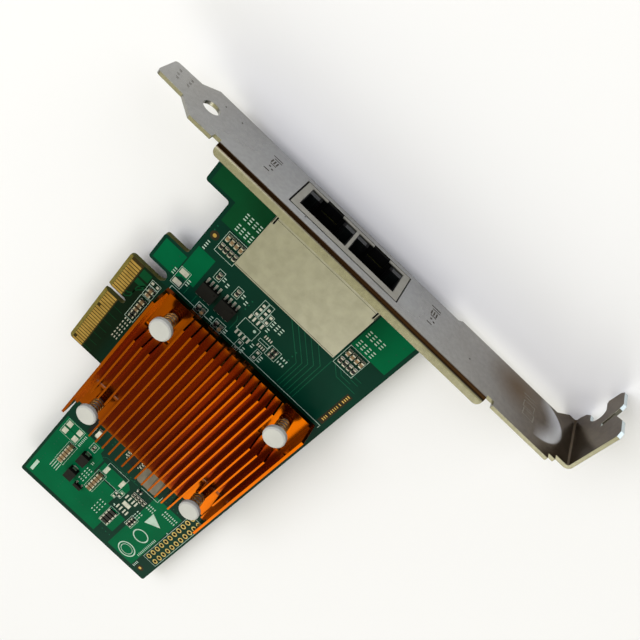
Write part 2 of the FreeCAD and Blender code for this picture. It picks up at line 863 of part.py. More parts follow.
def make_jack_wires():
    """Eight spring wires on the high side of each port, held in the rear wall."""
    front = "jack_front_x + shield"
    back = front + " + port_deep"
    wires = []
    for number, port in enumerate(PORTS):
        for index in range(WIRES_IN_PORT):
            shift = index - (WIRES_IN_PORT - 1) / 2
            start = "(%s) + wire_pitch * %s - wire / 2" % (port_middle(port), shift)
            body = new_body("wire_body_%d_%d" % (number, index))
            profile = (
                (front + " + wire_front", "port_high_z - wire"),
                (front + " + wire_front", "port_high_z"),
                (front + " + wire_front + wire * 2", "port_high_z"),
                (back + " - wire * 4", "port_high_z - wire_drop + wire"),
                (back, "port_high_z - wire_drop + wire"),
                (back, "port_high_z - wire_drop"),
                (back + " - wire * 4", "port_high_z - wire_drop"),
            )
            tag = "%d_%d" % (number, index)
            drawn = sketch_in(body, "wire_line_" + tag, "XZ_Plane", "-(%s) - wire" % start, profile)
            pad(body, drawn, "wire_pad_" + tag, "wire")
            wires.append(body)
    finish(group("jack_wires", wires), "jack_contacts")


def make_magnetics():
    """The moulded transformer block behind the ports, and its pins through the board."""
    front = "jack_front_x + shield + housing_deep"
    inside = around("jack_mid_y", "jack_wide - 2 * shield")
    finish(
        block("magnetics", (front, "jack_rear_x - shield"), inside, ("0", "jack_tall - shield")),
        "jack_magnetics",
    )
    pins = []
    for number, (x, y) in enumerate(solder_pin_places()):
        sides = around(x, "solder_pin"), around(y, "solder_pin")
        heights = ("-board_thick - solder_pin_out", "0")
        pins.append(block("solder_pin_%d" % number, sides[0], sides[1], heights))
    finish(group("solder_pins", pins), "jack_solder_pins")


def make_heatsink():
    """One extrusion: base and fins, with four milled corner pockets bored for the push pins."""
    x_span = around("sink_x", "sink")
    base = block("sink_plate", x_span, around("sink_y", "sink"), ("sink_low", "sink_low + sink_base"))
    heights = ("sink_low + sink_base", "sink_top")
    fins = []
    for index in range(2 * FINS_EACH_WAY + 1):
        middle = "sink_y + fin_pitch * %d" % (index - FINS_EACH_WAY)
        fins.append(block("fin_%d" % index, x_span, around(middle, "fin"), heights))
    for number, side in enumerate(SIDES):
        middle = "sink_y + (sink - fin_edge) / 2 * %d" % side
        fins.append(block("edge_fin_%d" % number, x_span, around(middle, "fin_edge"), heights))
    whole = fuse("sink_outside", [base] + fins)
    tools = []
    for side_x in SIDES:
        for side_y in SIDES:
            tag = "%d_%d" % (side_x + 1, side_y + 1)
            if side_x < 0:
                pocket_x = ("sink_x - sink / 2", "sink_x - sink / 2 + pocket_long")
                arc_x = "sink_x - sink / 2 + pocket_long"
            else:
                pocket_x = ("sink_x + sink / 2 - pocket_long", "sink_x + sink / 2")
                arc_x = "sink_x + sink / 2 - pocket_long"
            low = "pocket_in" if side_y > 0 else "-pocket_out"
            high = "pocket_out" if side_y > 0 else "-pocket_in"
            pocket_y = ("sink_y + " + low, "sink_y + " + high)
            tools.append(block("pocket_" + tag, pocket_x, pocket_y, ("pocket_floor", "sink_top")))
            arc = doc.addObject("Part::Cylinder", "pocket_arc_" + tag)
            bind(arc, "Radius", "pocket_round")
            bind(arc, "Height", "pocket_out - pocket_in")
            arc.Placement.Rotation = FreeCAD.Rotation(FreeCAD.Vector(1, 0, 0), -90)
            bind(arc, "Placement.Base.x", arc_x)
            bind(arc, "Placement.Base.y", pocket_y[0])
            bind(arc, "Placement.Base.z", "pocket_floor + pocket_round")
            tools.append(arc)
            over = around(arc_x, "pocket_round * 2")
            over_z = ("pocket_floor + pocket_round", "sink_top")
            tools.append(block("pocket_over_" + tag, over, pocket_y, over_z))
    for number, (x, y) in enumerate(push_pin_places()):
        tools.append(peg("sink_bore_%d" % number, "pin_hole", x, y, ("sink_low", "pocket_floor")))
    finish(cut("sink", whole, fuse("sink_cuts", tools)), "heatsink")


def make_push_pins():
    """Four pins with a flat head, a shaft and a split barb under the board."""
    pins = []
    for number, (x, y) in enumerate(push_pin_places()):
        top = "pin_head_low + pin_head_tall"
        rim = top + " - pin_crown"
        head = peg("pin_head_%d" % number, "pin_head", x, y, ("pin_head_low", rim))
        crown = cone("pin_crown_%d" % number, "pin_head", "pin_head - 2 * pin_crown", x, y, (rim, top))
        shaft = peg("pin_shaft_%d" % number, "pin_shaft", x, y, ("-board_thick", "pin_head_low"))
        barb_low = "-board_thick - pin_barb_tall"
        barb = cone("pin_barb_%d" % number, "pin_shaft", "pin_barb", x, y, (barb_low, "-board_thick"))
        solid = fuse("pin_%d" % number, [head, crown, shaft, barb])
        split = block(
            "pin_split_%d" % number,
            around(x, "pin_slit"),
            around(y, "pin_barb"),
            (barb_low, "-board_thick / 3"),
        )
        pins.append(cut("split_pin_%d" % number, solid, split))
    finish(group("pins", pins), "push_pins")


def make_springs():
    """A coil spring under each push pin's head."""
    springs = []
    for number, (x, y) in enumerate(push_pin_places()):
        coil = doc.addObject("Part::Helix", "coil_%d" % number)
        bind(coil, "Radius", "spring_round / 2")
        bind(coil, "Height", "pin_head_low - pocket_floor - spring_wire")
        bind(coil, "Pitch", "(pin_head_low - pocket_floor - spring_wire) / spring_turns")
        wire = doc.addObject("Part::Circle", "coil_wire_%d" % number)
        bind(wire, "Radius", "spring_wire / 2")
        wire.Placement.Rotation = FreeCAD.Rotation(FreeCAD.Vector(1, 0, 0), 90)
        bind(wire, "Placement.Base.x", "spring_round / 2")
        swept = doc.addObject("Part::Sweep", "spring_%d" % number)
        swept.Sections = [wire]
        swept.Spine = (coil, [])
        swept.Solid = True
        swept.Frenet = True
        bind(swept, "Placement.Base.x", x)
        bind(swept, "Placement.Base.y", y)
        bind(swept, "Placement.Base.z", "pocket_floor + spring_wire / 2")
        springs.append(swept)
    finish(group("springs", springs), "push_pin_springs")


def make_controller():
    """The network controller on the board and the thermal sheet up to the heatsink."""
    x_span = around("sink_x", "controller")
    y_span = around("sink_y", "controller")
    finish(block("controller_block", x_span, y_span, ("0", "controller_tall")), "network_controller")
    x_span = around("sink_x", "thermal_sheet")
    y_span = around("sink_y", "thermal_sheet")
    finish(block("thermal_block", x_span, y_span, ("controller_tall", "sink_low")), "thermal_pad")


def lead(name, along, side, edge, middle):
    """One gull-wing lead: out of the body, down, and out again on its pad."""
    reach = "lead_reach * %d" % side
    start = "(%s) * %d" % (edge, side)
    knee = "(lead_reach - lead_foot) * %d" % side
    knee_in = "(lead_reach - lead_foot - lead_sheet) * %d" % side
    spans = (
        ("top", start, knee, ("lead_level", "lead_level + lead_sheet")),
        ("drop", knee_in, knee, ("0", "lead_level + lead_sheet")),
        ("foot", knee_in, reach, ("0", "lead_sheet")),
    )
    pieces = []
    for tag, low, high, heights in spans:
        if side < 0:
            low, high = high, low
        run = ("(%s) + %s" % (middle[0], low), "(%s) + %s" % (middle[0], high))
        width = around(middle[1], "lead_wide")
        if along == "x":
            pieces.append(block(name + "_" + tag, run, width, heights))
        else:
            pieces.append(block(name + "_" + tag, width, run, heights))
    return fuse(name, pieces)


def make_eight_lead_chips():
    """Two memory chips with leads along X and a regulator with leads along Y."""
    heights = ("chip_lift", "chip_tall")
    bodies = []
    leads = []
    for number, y in enumerate(("memory_low_y", "memory_high_y")):
        spans = around("memory_x", "chip_wide"), around(y, "chip_long")
        bodies.append(block("memory_%d" % number, spans[0], spans[1], heights))
        for side in SIDES:
            for index in range(LEADS_ON_SIDE):
                row = "%s + lead_pitch * %s" % (y, index - (LEADS_ON_SIDE - 1) / 2)
                name = "memory_lead_%d_%d_%d" % (number, side + 1, index)
                leads.append(lead(name, "x", side, "chip_wide / 2", ("memory_x", row)))
    finish(group("memory_bodies", bodies), "memory_chips")
    finish(group("memory_leads", leads), "memory_chip_leads")
    spans = around("regulator_x", "chip_long"), around("regulator_y", "chip_wide")
    finish(block("regulator", spans[0], spans[1], heights), "regulator_chip")
    leads = []
    for side in SIDES:
        for index in range(LEADS_ON_SIDE):
            column = "regulator_x + lead_pitch * %s" % (index - (LEADS_ON_SIDE - 1) / 2)
            name = "regulator_lead_%d_%d" % (side + 1, index)
            leads.append(lead(name, "y", side, "chip_wide / 2", ("regulator_y", column)))
    finish(group("regulator_leads", leads), "regulator_chip_leads")


def make_inductor():
    """A square inductor with rounded corners on two flat terminals."""
    body = new_body("inductor_body")
    add_block(
        body,
        "inductor_block",
        around("inductor_x", "inductor_long"),
        around("inductor_y", "inductor_wide"),
        ("inductor_terminal", "inductor_tall"),
    )
    doc.recompute()

    def wanted(edge):
        return abs(edge.Length - (value("inductor_tall") - value("inductor_terminal"))) < 1e-6

    round_edges(body, "inductor_corners", "inductor_round", wanted)
    finish(body, "power_inductor")
    feet = []
    for side in SIDES:
        middle = "inductor_x + (inductor_long - inductor_terminal_long) / 2 * %d" % side
        feet.append(
            block(
                "inductor_foot_%d" % (side + 1),
                around(middle, "inductor_terminal_long"),
                around("inductor_y", "inductor_terminal_wide"),
                ("0", "inductor_terminal"),
            )
        )
    finish(group("inductor_feet", feet), "power_inductor_terminals")


def make_diodes():
    """Two rectifier diodes, each with a folded strip at both ends."""
    bodies = []
    strips = []
    for number in range(2):
        middle = "diode_first_x + diode_pitch * %d" % number
        bodies.append(
            block(
                "diode_%d" % number,
                around(middle, "diode_long"),
                around("diode_y", "diode_wide"),
                ("diode_lead", "diode_tall"),
            )
        )
        for side in SIDES:
            inner = "(%s) + diode_long / 2 * %d" % (middle, side)
            outer = "(%s) + (diode_long / 2 + diode_lead) * %d" % (middle, side)
            under = "(%s) + (diode_long / 2 - diode_foot) * %d" % (middle, side)
            wall_x = (outer, inner) if side < 0 else (inner, outer)
            foot_x = (outer, under) if side < 0 else (under, outer)
            width = around("diode_y", "diode_lead_wide")
            tag = "%d_%d" % (number, side + 1)
            wall = block("diode_wall_" + tag, wall_x, width, ("0", "diode_tall / 2"))
            foot = block("diode_foot_" + tag, foot_x, width, ("0", "diode_lead"))
            strips.append(fuse("diode_strip_" + tag, [wall, foot]))
    finish(group("diodes", bodies), "rectifier_diodes")
    finish(group("diode_strips", strips), "rectifier_diode_leads")


def make_transistor():
    """A small three-lead transistor."""
    finish(
        block(
            "transistor",
            around("transistor_x", "transistor_wide"),
            around("transistor_y", "transistor_long"),
            ("chip_lift", "transistor_tall"),
        ),
        "transistor",
    )
    leads = []
    for number, (shift, side) in enumerate(((-1, -1), (1, -1), (0, 1))):
        y_span = around("transistor_y + transistor_pitch * %d" % shift, "lead_wide")
        edge = "transistor_x + transistor_wide / 2 * %d" % side
        end = "transistor_x + transistor_reach * %d" % side
        wall_end = "transistor_x + (transistor_wide / 2 + lead_sheet) * %d" % side
        wall_x = (edge, wall_end) if side > 0 else (wall_end, edge)
        foot_x = (edge, end) if side > 0 else (end, edge)
        wall = block("transistor_wall_%d" % number, wall_x, y_span, ("0", "transistor_tall / 2"))
        foot = block("transistor_foot_%d" % number, foot_x, y_span, ("0", "lead_sheet / 2"))
        leads.append(fuse("transistor_lead_%d" % number, [wall, foot]))
    finish(group("transistor_leads", leads), "transistor_leads")
    finish(
        block(
            "filter_block",
            around("filter_x", "filter_long"),
            around("filter_y", "filter_wide"),
            ("0", "filter_tall"),
        ),
        "filter_block",
    )


def chip(name, along, spot, long_side, wide, tall, end):
    """A chip part: its middle block and its two metal ends."""
    x, y = spot
    body_long = "(%s) - 2 * (%s)" % (long_side, end)
    shift = "((%s) - (%s)) / 2" % (long_side, end)
    if along == "x":
        middle = block(name, around(x, body_long), around(y, wide), ("0", tall))
        places = [("(%s) + %s * %d" % (x, shift, side), y) for side in SIDES]
        ends = [
            block("%s_end_%d" % (name, number), around(place[0], end), around(place[1], wide), ("0", tall))
            for number, place in enumerate(places)
        ]
    else:
        middle = block(name, around(x, wide), around(y, body_long), ("0", tall))
        places = [(x, "(%s) + %s * %d" % (y, shift, side)) for side in SIDES]
        ends = [
            block("%s_end_%d" % (name, number), around(place[0], wide), around(place[1], end), ("0", tall))
            for number, place in enumerate(places)
        ]
    return middle, ends


def make_chip_parts():
    """Ceramic capacitors, resistors and one fuse, with their metal ends."""
    large = []
    for index in range(5):
        large.append(("upper_row_x + large_pitch * %d" % index, "upper_row_y"))
    for index in range(5):
        large.append(("lower_row_x + large_pitch * %d" % index, "lower_row_y"))
    small = []
    resistors = []
    for y in ("group_high_y", "group_low_y"):
        for index in range(4):
            row = "%s + group_pitch * %d" % (y, index)
            small.append(("x", "group_x", row))
            resistors.append(("x", "group_x + group_gap", row))
    for index in (0, 1, 3, 4, 5):
        small.append(("y", "edge_row_x + edge_row_pitch * %d" % index, "edge_row_y"))
    for index in (6, 7):
        resistors.append(("y", "edge_row_x + edge_row_pitch * %d" % index, "edge_row_y"))
    for index in range(3):
        resistors.append(("y", "trio_x + trio_pitch * %d" % index, "trio_y"))
    for index in range(4):
        resistors.append(("x", "column_x", "column_y + column_pitch * %d" % index))
    resistors.append(("y", "side_x", "side_y"))
    for y in ("memory_low_y", "memory_high_y"):
        resistors.append(("x", "memory_side_x", y + " + memory_side_shift"))
        small.append(("x", "memory_other_x", y + " + memory_other_shift"))
        resistors.append(("x", "memory_other_x", y + " + memory_other_shift - memory_other_gap"))
    for index in range(2):
        resistors.append(("y", "pullup_x + trio_pitch * %d" % index, "pullup_y"))
    resistors.append(("x", "feed_x", "diode_y"))
    quad = [("y", "quad_x + quad_pitch * %d" % index, "quad_y") for index in range(4)]
    power_fuse = [("x", "fuse_x", "fuse_y")]

    sets = (
        ("large", [("y", x, y) for x, y in large], ("large_long", "large_wide", "large_wide", "large_end")),
        ("small", small, ("small_long", "small_wide", "small_wide", "small_end")),
        ("resistor", resistors, ("small_long", "small_wide", "resistor_tall", "small_end")),
        ("quad", quad, ("quad_long", "large_wide", "resistor_tall", "large_end")),
        ("fuse", power_fuse, ("fuse_long", "fuse_wide", "fuse_tall", "fuse_end")),
    )
    labels = {
        "large": "large_ceramic_capacitors",
        "small": "small_ceramic_capacitors",
        "resistor": "chip_resistors",
        "quad": "power_resistors",
        "fuse": "ceramic_fuse",
    }
    for kind, spots, sides in sets:
        bodies = []
        ends = []
        for number, (along, x, y) in enumerate(spots):
            middle, pair = chip("%s_%d" % (kind, number), along, (x, y), *sides)
            bodies.append(middle)
            ends.extend(pair)
        finish(group(kind + "_bodies", bodies), labels[kind])
        finish(group(kind + "_ends", ends), labels[kind] + "_ends")


make_board()
make_edge_contacts()
make_header_holes()
make_bracket()
make_screws()
make_shield()
make_housing()
make_light_pipes()
make_jack_wires()
make_magnetics()
make_heatsink()
make_push_pins()
make_springs()
make_controller()
make_eight_lead_chips()
make_inductor()
make_diodes()
make_transistor()
make_chip_parts()
doc.recompute()

for thing in doc.Objects:
    if "Invalid" in thing.State or "Error" in thing.State:
        raise ValueError("%s could not be made: %s" % (thing.Name, thing.State))
os.makedirs("parts", exist_ok=True)
for made in parts:
    if made.Shape.isNull() or not made.Shape.isValid():
        raise ValueError("%s has a bad shape" % made.Label)
    made.Shape.exportStep("parts/%s.step" % made.Label)
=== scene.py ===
import math

import bpy
from mathutils import Matrix, Vector


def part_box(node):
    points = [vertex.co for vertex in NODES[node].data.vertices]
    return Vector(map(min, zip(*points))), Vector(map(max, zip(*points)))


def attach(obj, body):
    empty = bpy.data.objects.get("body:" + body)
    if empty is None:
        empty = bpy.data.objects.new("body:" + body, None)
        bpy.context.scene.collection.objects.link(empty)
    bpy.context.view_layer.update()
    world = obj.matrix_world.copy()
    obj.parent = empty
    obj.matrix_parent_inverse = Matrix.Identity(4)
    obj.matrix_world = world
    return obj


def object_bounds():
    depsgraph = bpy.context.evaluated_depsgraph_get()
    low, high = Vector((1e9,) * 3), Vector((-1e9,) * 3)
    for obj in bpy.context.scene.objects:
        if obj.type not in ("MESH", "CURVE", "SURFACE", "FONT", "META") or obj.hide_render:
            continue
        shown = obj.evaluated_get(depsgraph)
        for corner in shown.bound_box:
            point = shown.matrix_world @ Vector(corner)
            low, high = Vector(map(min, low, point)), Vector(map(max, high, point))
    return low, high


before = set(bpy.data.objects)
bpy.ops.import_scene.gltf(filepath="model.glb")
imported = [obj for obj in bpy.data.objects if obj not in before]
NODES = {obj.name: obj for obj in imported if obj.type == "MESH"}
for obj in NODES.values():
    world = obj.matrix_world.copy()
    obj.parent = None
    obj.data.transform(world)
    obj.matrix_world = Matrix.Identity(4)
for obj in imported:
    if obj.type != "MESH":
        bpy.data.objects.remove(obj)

# Sizes are in millimetres and become metres when a mesh is made. The component
# side's surface is at height 0 and the solder side's at minus the board's thickness.

cad_low, cad_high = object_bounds()
MM = 0.001

# The shield's front stands this far out of the bracket's outer face.
SHIELD_PROUD = 0.04
FACE_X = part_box("jack_shield")[0].x / MM + SHIELD_PROUD

# How high the flat details reach above the board.
FILL_TOP = 0.012
TRACE_TOP = 0.02
PAD_TOP = 0.035
INK_LOW = 0.012
INK_TOP = 0.03

# Most of a noise's values lie between these two.
NOISE_LOW = 0.3
NOISE_HIGH = 0.7
# The finest speckle's scale, and how much finer roughness varies than colour.
SPECKLE = 900.0
FINER = 3.0


# ---------------------------------------------------------------- materials

def linear(red, green, blue):
    """A colour given in 0 to 255 screen values, as scene-linear."""
    def one(value):
        value = value / 255.0
        return value / 12.92 if value <= 0.04045 else ((value + 0.055) / 1.055) ** 2.4
    return (one(red), one(green), one(blue), 1.0)


def start_material(name):
    """A new node material with its output, shader and object coordinates."""
    made = bpy.data.materials.new(name)
    made.use_nodes = True
    tree = made.node_tree
    tree.nodes.clear()
    out = tree.nodes.new("ShaderNodeOutputMaterial")
    shader = tree.nodes.new("ShaderNodeBsdfPrincipled")
    tree.links.new(shader.outputs["BSDF"], out.inputs["Surface"])
    place = tree.nodes.new("ShaderNodeTexCoord")
    return made, tree, shader, place.outputs["Object"]


def noise(tree, place, scale, detail=4.0, stretch=None):
    """Noise in object space, stretched along an axis if asked."""
    if stretch:
        mapping = tree.nodes.new("ShaderNodeMapping")
        mapping.inputs["Scale"].default_value = stretch
        tree.links.new(place, mapping.inputs["Vector"])
        place = mapping.outputs["Vector"]
    made = tree.nodes.new("ShaderNodeTexNoise")
    made.inputs["Scale"].default_value = scale
    made.inputs["Detail"].default_value = detail
    tree.links.new(place, made.inputs["Vector"])
    return made.outputs["Fac"]


def between(tree, factor, dark, light, start=NOISE_LOW, end=NOISE_HIGH):
    """A colour between two, each given in 0 to 255 screen values."""
    made = tree.nodes.new("ShaderNodeValToRGB")
    stops = zip(made.color_ramp.elements, (start, end), (dark, light))
    for element, position, colour in stops:
        element.position = position
        element.color = linear(*colour)
    tree.links.new(factor, made.inputs["Fac"])
    return made.outputs["Color"]


def spread(tree, factor, low, high, start=NOISE_LOW, end=NOISE_HIGH):
    """A factor mapped to a range of plain values."""
    made = tree.nodes.new("ShaderNodeMapRange")
    made.inputs["From Min"].default_value = start
    made.inputs["From Max"].default_value = end
    made.inputs["To Min"].default_value = low
    made.inputs["To Max"].default_value = high
    tree.links.new(factor, made.inputs["Value"])
    return made.outputs["Result"]


def relief(tree, shader, height, strength, distance, bevel=0.0):
    """Small bumps, on edges softened by a bevel radius if asked."""
    bump = tree.nodes.new("ShaderNodeBump")
    bump.inputs["Strength"].default_value = strength
    bump.inputs["Distance"].default_value = distance * MM
    tree.links.new(height, bump.inputs["Height"])
    if bevel:
        soft = tree.nodes.new("ShaderNodeBevel")
        soft.samples = 4
        soft.inputs["Radius"].default_value = bevel * MM
        tree.links.new(soft.outputs["Normal"], bump.inputs["Normal"])
    tree.links.new(bump.outputs["Normal"], shader.inputs["Normal"])


def mixed(tree, factor, first, second):
    """Two colours mixed by a factor; each of the three may be plain or an output."""
    made = tree.nodes.new("ShaderNodeMix")
    made.data_type = "RGBA"
    if isinstance(factor, float):
        made.inputs["Factor"].default_value = factor
    else:
        tree.links.new(factor, made.inputs["Factor"])
    for socket, colour in ((made.inputs[6], first), (made.inputs[7], second)):
        if isinstance(colour, tuple):
            socket.default_value = colour
        else:
            tree.links.new(colour, socket)
    return made.outputs[2]


def combined(tree, operation, first, second):
    """Two numbers combined; either may be plain or an output."""
    made = tree.nodes.new("ShaderNodeMath")
    made.operation = operation
    for socket, number in zip(made.inputs, (first, second)):
        if isinstance(number, float):
            socket.default_value = number
        else:
            tree.links.new(number, socket)
    return made.outputs[0]


def parted(tree, vector):
    """The three numbers of a vector."""
    made = tree.nodes.new("ShaderNodeSeparateXYZ")
    tree.links.new(vector, made.inputs["Vector"])
    return made.outputs["X"], made.outputs["Y"], made.outputs["Z"]


def facing(tree):
    """The three numbers of the way a surface faces."""
    geometry = tree.nodes.new("ShaderNodeNewGeometry")
    return parted(tree, geometry.outputs["True Normal"])


def around(tree, place, centre, inner, outer):
    """A spot of one size about a point, in millimetres: 1 inside, falling to 0 outside."""
    away = tree.nodes.new("ShaderNodeVectorMath")
    away.operation = "DISTANCE"
    tree.links.new(place, away.inputs[0])
    away.inputs[1].default_value = [value * MM for value in centre]
    return spread(tree, away.outputs["Value"], 1.0, 0.0, inner * MM, outer * MM)


def openness(tree, reach):
    """How open a spot is to its surroundings: 0 deep in a groove, 1 in the open."""
    made = tree.nodes.new("ShaderNodeAmbientOcclusion")
    made.samples = 12
    made.only_local = True
    made.inputs["Distance"].default_value = reach * MM
    return made.outputs["AO"]


def plain_material(name, dark, light, metal, rough, scale, bump=0.15, distance=0.02, bevel=0.0, shine=0.25):
    """A material whose colour and roughness wander between two values."""
    made, tree, shader, place = start_material(name)
    wander = noise(tree, place, scale)
    tree.links.new(between(tree, wander, dark, light), shader.inputs["Base Color"])
    shader.inputs["Metallic"].default_value = metal
    shader.inputs["Specular IOR Level"].default_value = shine
    fine = noise(tree, place, scale * FINER)
    tree.links.new(spread(tree, fine, rough[0], rough[1]), shader.inputs["Roughness"])
    relief(tree, shader, fine, bump, distance, bevel)
    return made


# Where the board's colour changes: past CONNECTOR_START along X the mask darkens towards the connector, a
# painted shadow of the heatsink, and below CONTACTS_TOP it gives way to the contacts' bed.
CONNECTOR_START = -13.0
CONTACTS_TOP = 4.75
SHADE_FULL = 8.0
SHADE_ENDS = 14.0


def board_material():
    """Green mask on the faces, darker by the connector as painted shadow, with cut laminate on the edges.
    """
    made, tree, shader, place = start_material("board_mask")
    wander = noise(tree, place, 60.0)
    grain = noise(tree, place, SPECKLE, stretch=(1.0, 1.0, 6.0))
    mask = between(tree, wander, (0, 40, 30), (2, 50, 37))
    # A darker copy of the mask: painted shadow.
    shaded = between(tree, wander, (2, 22, 8), (6, 32, 14))
    gold_bed = between(tree, grain, (46, 38, 18), (60, 50, 24))
    cut = between(tree, grain, (54, 56, 26), (90, 88, 44))
    bevel = between(tree, grain, (96, 86, 38), (124, 112, 54))
    x, y, _ = parted(tree, place)
    connector = combined(tree, "GREATER_THAN", x, CONNECTOR_START * MM)
    low = spread(tree, y, 1.0, 0.0, SHADE_FULL * MM, SHADE_ENDS * MM)
    strip = combined(tree, "LESS_THAN", y, CONTACTS_TOP * MM)
    mask = mixed(tree, combined(tree, "MULTIPLY", low, connector), mask, shaded)
    mask = mixed(tree, combined(tree, "MULTIPLY", strip, connector), mask, gold_bed)
    level = combined(tree, "ABSOLUTE", facing(tree)[2], 0.0)
    cut = mixed(tree, spread(tree, level, 0.0, 1.0, 0.1, 0.4), cut, bevel)
    face = combined(tree, "GREATER_THAN", level, 0.99)
    tree.links.new(mixed(tree, face, cut, mask), shader.inputs["Base Color"])
    shader.inputs["Specular IOR Level"].default_value = 0.05
    tree.links.new(spread(tree, wander, 0.3, 0.4), shader.inputs["Roughness"])
    relief(tree, shader, noise(tree, place, 2200.0), 0.1, 0.01)
    return made


# How far a spot in the heatsink looks about itself to tell a channel, where shade is painted, from a face.
CHANNEL_REACH = 7.0


def sink_material():
    """Orange anodised aluminium: fine lines along the extrusion, with painted shade in red-brown down its
    channels and on its upright faces.
    """
    made, tree, shader, place = start_material("orange_anodised")
    drawn = noise(tree, place, 260.0, stretch=(0.05, 1.0, 1.0))
    cloud = noise(tree, place, 45.0)
    lines = between(tree, drawn, (148, 68, 0), (160, 78, 0))
    tint = between(tree, cloud, (146, 66, 0), (162, 80, 0), 0.35, 0.65)
    # Red-brown painted shade for the channels.
    channel = between(tree, drawn, (76, 12, 0), (90, 20, 0))
    level = combined(tree, "ABSOLUTE", facing(tree)[2], 0.0)
    # How much of the open colour shows over the painted shade: less on upright faces, but never below a
    # least share there.
    shown = spread(tree, openness(tree, CHANNEL_REACH), 0.0, 1.0, 0.26, 0.62)
    shown = combined(tree, "MULTIPLY", shown, spread(tree, level, 0.5, 1.0, 0.35, 0.75))
    shown = combined(tree, "MAXIMUM", shown, spread(tree, level, 0.4, 0.0, 0.3, 0.75))
    open_colour = mixed(tree, 0.5, lines, tint)
    tree.links.new(mixed(tree, shown, channel, open_colour), shader.inputs["Base Color"])
    shader.inputs["Metallic"].default_value = 1.0
    tree.links.new(spread(tree, drawn, 0.13, 0.18), shader.inputs["Roughness"])
    relief(tree, shader, drawn, 0.02, 0.004, 0.08)
    return made


# Where painted reflections lie on the bracket's plating: brown towards the tab, in a spot and along the
# fold, and pale in a crescent. Single numbers are along Y, and a spot is a point with the two distances
# between which it fades.
DARK_REFLECTION_STARTS = 71.0
DARK_REFLECTION_FULL = 94.0
DARK_REFLECTION_LEVEL = 1.1
BROWN_REFLECTION_SPOT = ((-60.3, 85.5, 1.0), 1.0, 9.5)
FOLD_REFLECTION_ENDS = 85.0
BRIGHT_ARC_OUTER = ((-60.3, 91.2, 3.8), 7.5, 7.9)
BRIGHT_ARC_INNER = ((-60.3, 91.2, 3.8), 2.6, 7.2)
BRIGHT_ARC_STARTS = 91.5
BRIGHT_ARC_FULL = 95.5
# The screw tab lies beyond this, along X.
TAB_STARTS_X = -63.0


def bracket_dark_reflection(tree, cloud, y, up):
    """How much painted dark reflection the plating shows: more towards the tab, in clouds, and not on its
    upper edges.
    """
    towards_tab = spread(tree, y, 0.0, 1.0, DARK_REFLECTION_STARTS * MM, DARK_REFLECTION_FULL * MM)
    dark_share = combined(tree, "MULTIPLY", towards_tab, DARK_REFLECTION_LEVEL)
    dark_share = combined(tree, "MULTIPLY", dark_share, spread(tree, cloud, 0.7, 1.0, 0.35, 0.65))
    return combined(tree, "MULTIPLY", dark_share, combined(tree, "LESS_THAN", up, 0.3))


def bracket_bright_arc(tree, place, y):
    """A painted bright reflection in a crescent: one spot less a softer one, on the side towards the tab.
    """
    crescent = combined(tree, "SUBTRACT", around(tree, place, *BRIGHT_ARC_OUTER), around(tree, place, *BRIGHT_ARC_INNER))
    return combined(tree, "MULTIPLY", crescent, spread(tree, y, 0.0, 1.0, BRIGHT_ARC_STARTS * MM, BRIGHT_ARC_FULL * MM))


def bracket_fold(tree, front, y, up):
    """Painted dark reflection on the outside of the long fold, where the sheet faces half forwards and half
    up.
    """
    slant = combined(tree, "MULTIPLY", combined(tree, "MULTIPLY", front, -2.0), up)
    slant = combined(tree, "MULTIPLY", slant, combined(tree, "LESS_THAN", y, FOLD_REFLECTION_ENDS * MM))
    return spread(tree, slant, 0.0, 1.0, 0.45, 0.8)


def bracket_material():
    """Plated steel sheet: fine mottling, with painted reflections: a brown line in the long fold, brown
    towards the tab, warm on upward faces, and pale on the tab's ends and in a crescent by it.
    """
    made, tree, shader, place = start_material("bracket_sheet")
    speck = noise(tree, place, SPECKLE)
    cloud = noise(tree, place, 30.0, detail=6.0)
    base = between(tree, speck, (142, 143, 142), (163, 164, 162))
    marks = between(tree, cloud, (140, 134, 124), (164, 165, 165), 0.36, 0.62)
    warm = between(tree, speck, (144, 141, 126), (158, 155, 138))
    dark_reflection_tone = between(tree, speck, (74, 60, 42), (90, 76, 54))
    x, y, _ = parted(tree, place)
    front, _, up = facing(tree)
    plating = mixed(tree, 0.5, base, marks)
    # Upward faces turn warm: a painted reflection of warm light overhead.
    plating = mixed(tree, spread(tree, up, 0.0, 1.0, 0.6, 0.95), plating, warm)
    # Painted dark reflection: brown towards the tab.
    plating = mixed(tree, bracket_dark_reflection(tree, cloud, y, up), plating, dark_reflection_tone)
    # A painted highlight on the tab's forward-facing ends.
    tab_end_glint = combined(tree, "LESS_THAN", front, -0.35)
    tab_end_glint = combined(tree, "MULTIPLY", tab_end_glint, combined(tree, "LESS_THAN", x, TAB_STARTS_X * MM))
    plating = mixed(tree, tab_end_glint, plating, linear(186, 198, 202))
    # A painted dark reflection: a brown spot near the tab.
    plating = mixed(tree, around(tree, place, *BROWN_REFLECTION_SPOT), plating, linear(92, 72, 46))
    # A painted bright reflection: a pale crescent by the tab.
    plating = mixed(tree, bracket_bright_arc(tree, place, y), plating, linear(204, 205, 207))
    # A painted dark reflection: a brown line along the long fold.
    plating = mixed(tree, bracket_fold(tree, front, y, up), plating, linear(52, 34, 16))
    tree.links.new(plating, shader.inputs["Base Color"])
    shader.inputs["Metallic"].default_value = 1.0
    tree.links.new(spread(tree, cloud, 0.2, 0.32), shader.inputs["Roughness"])
    relief(tree, shader, speck, 0.03, 0.004, 0.1)
    return made


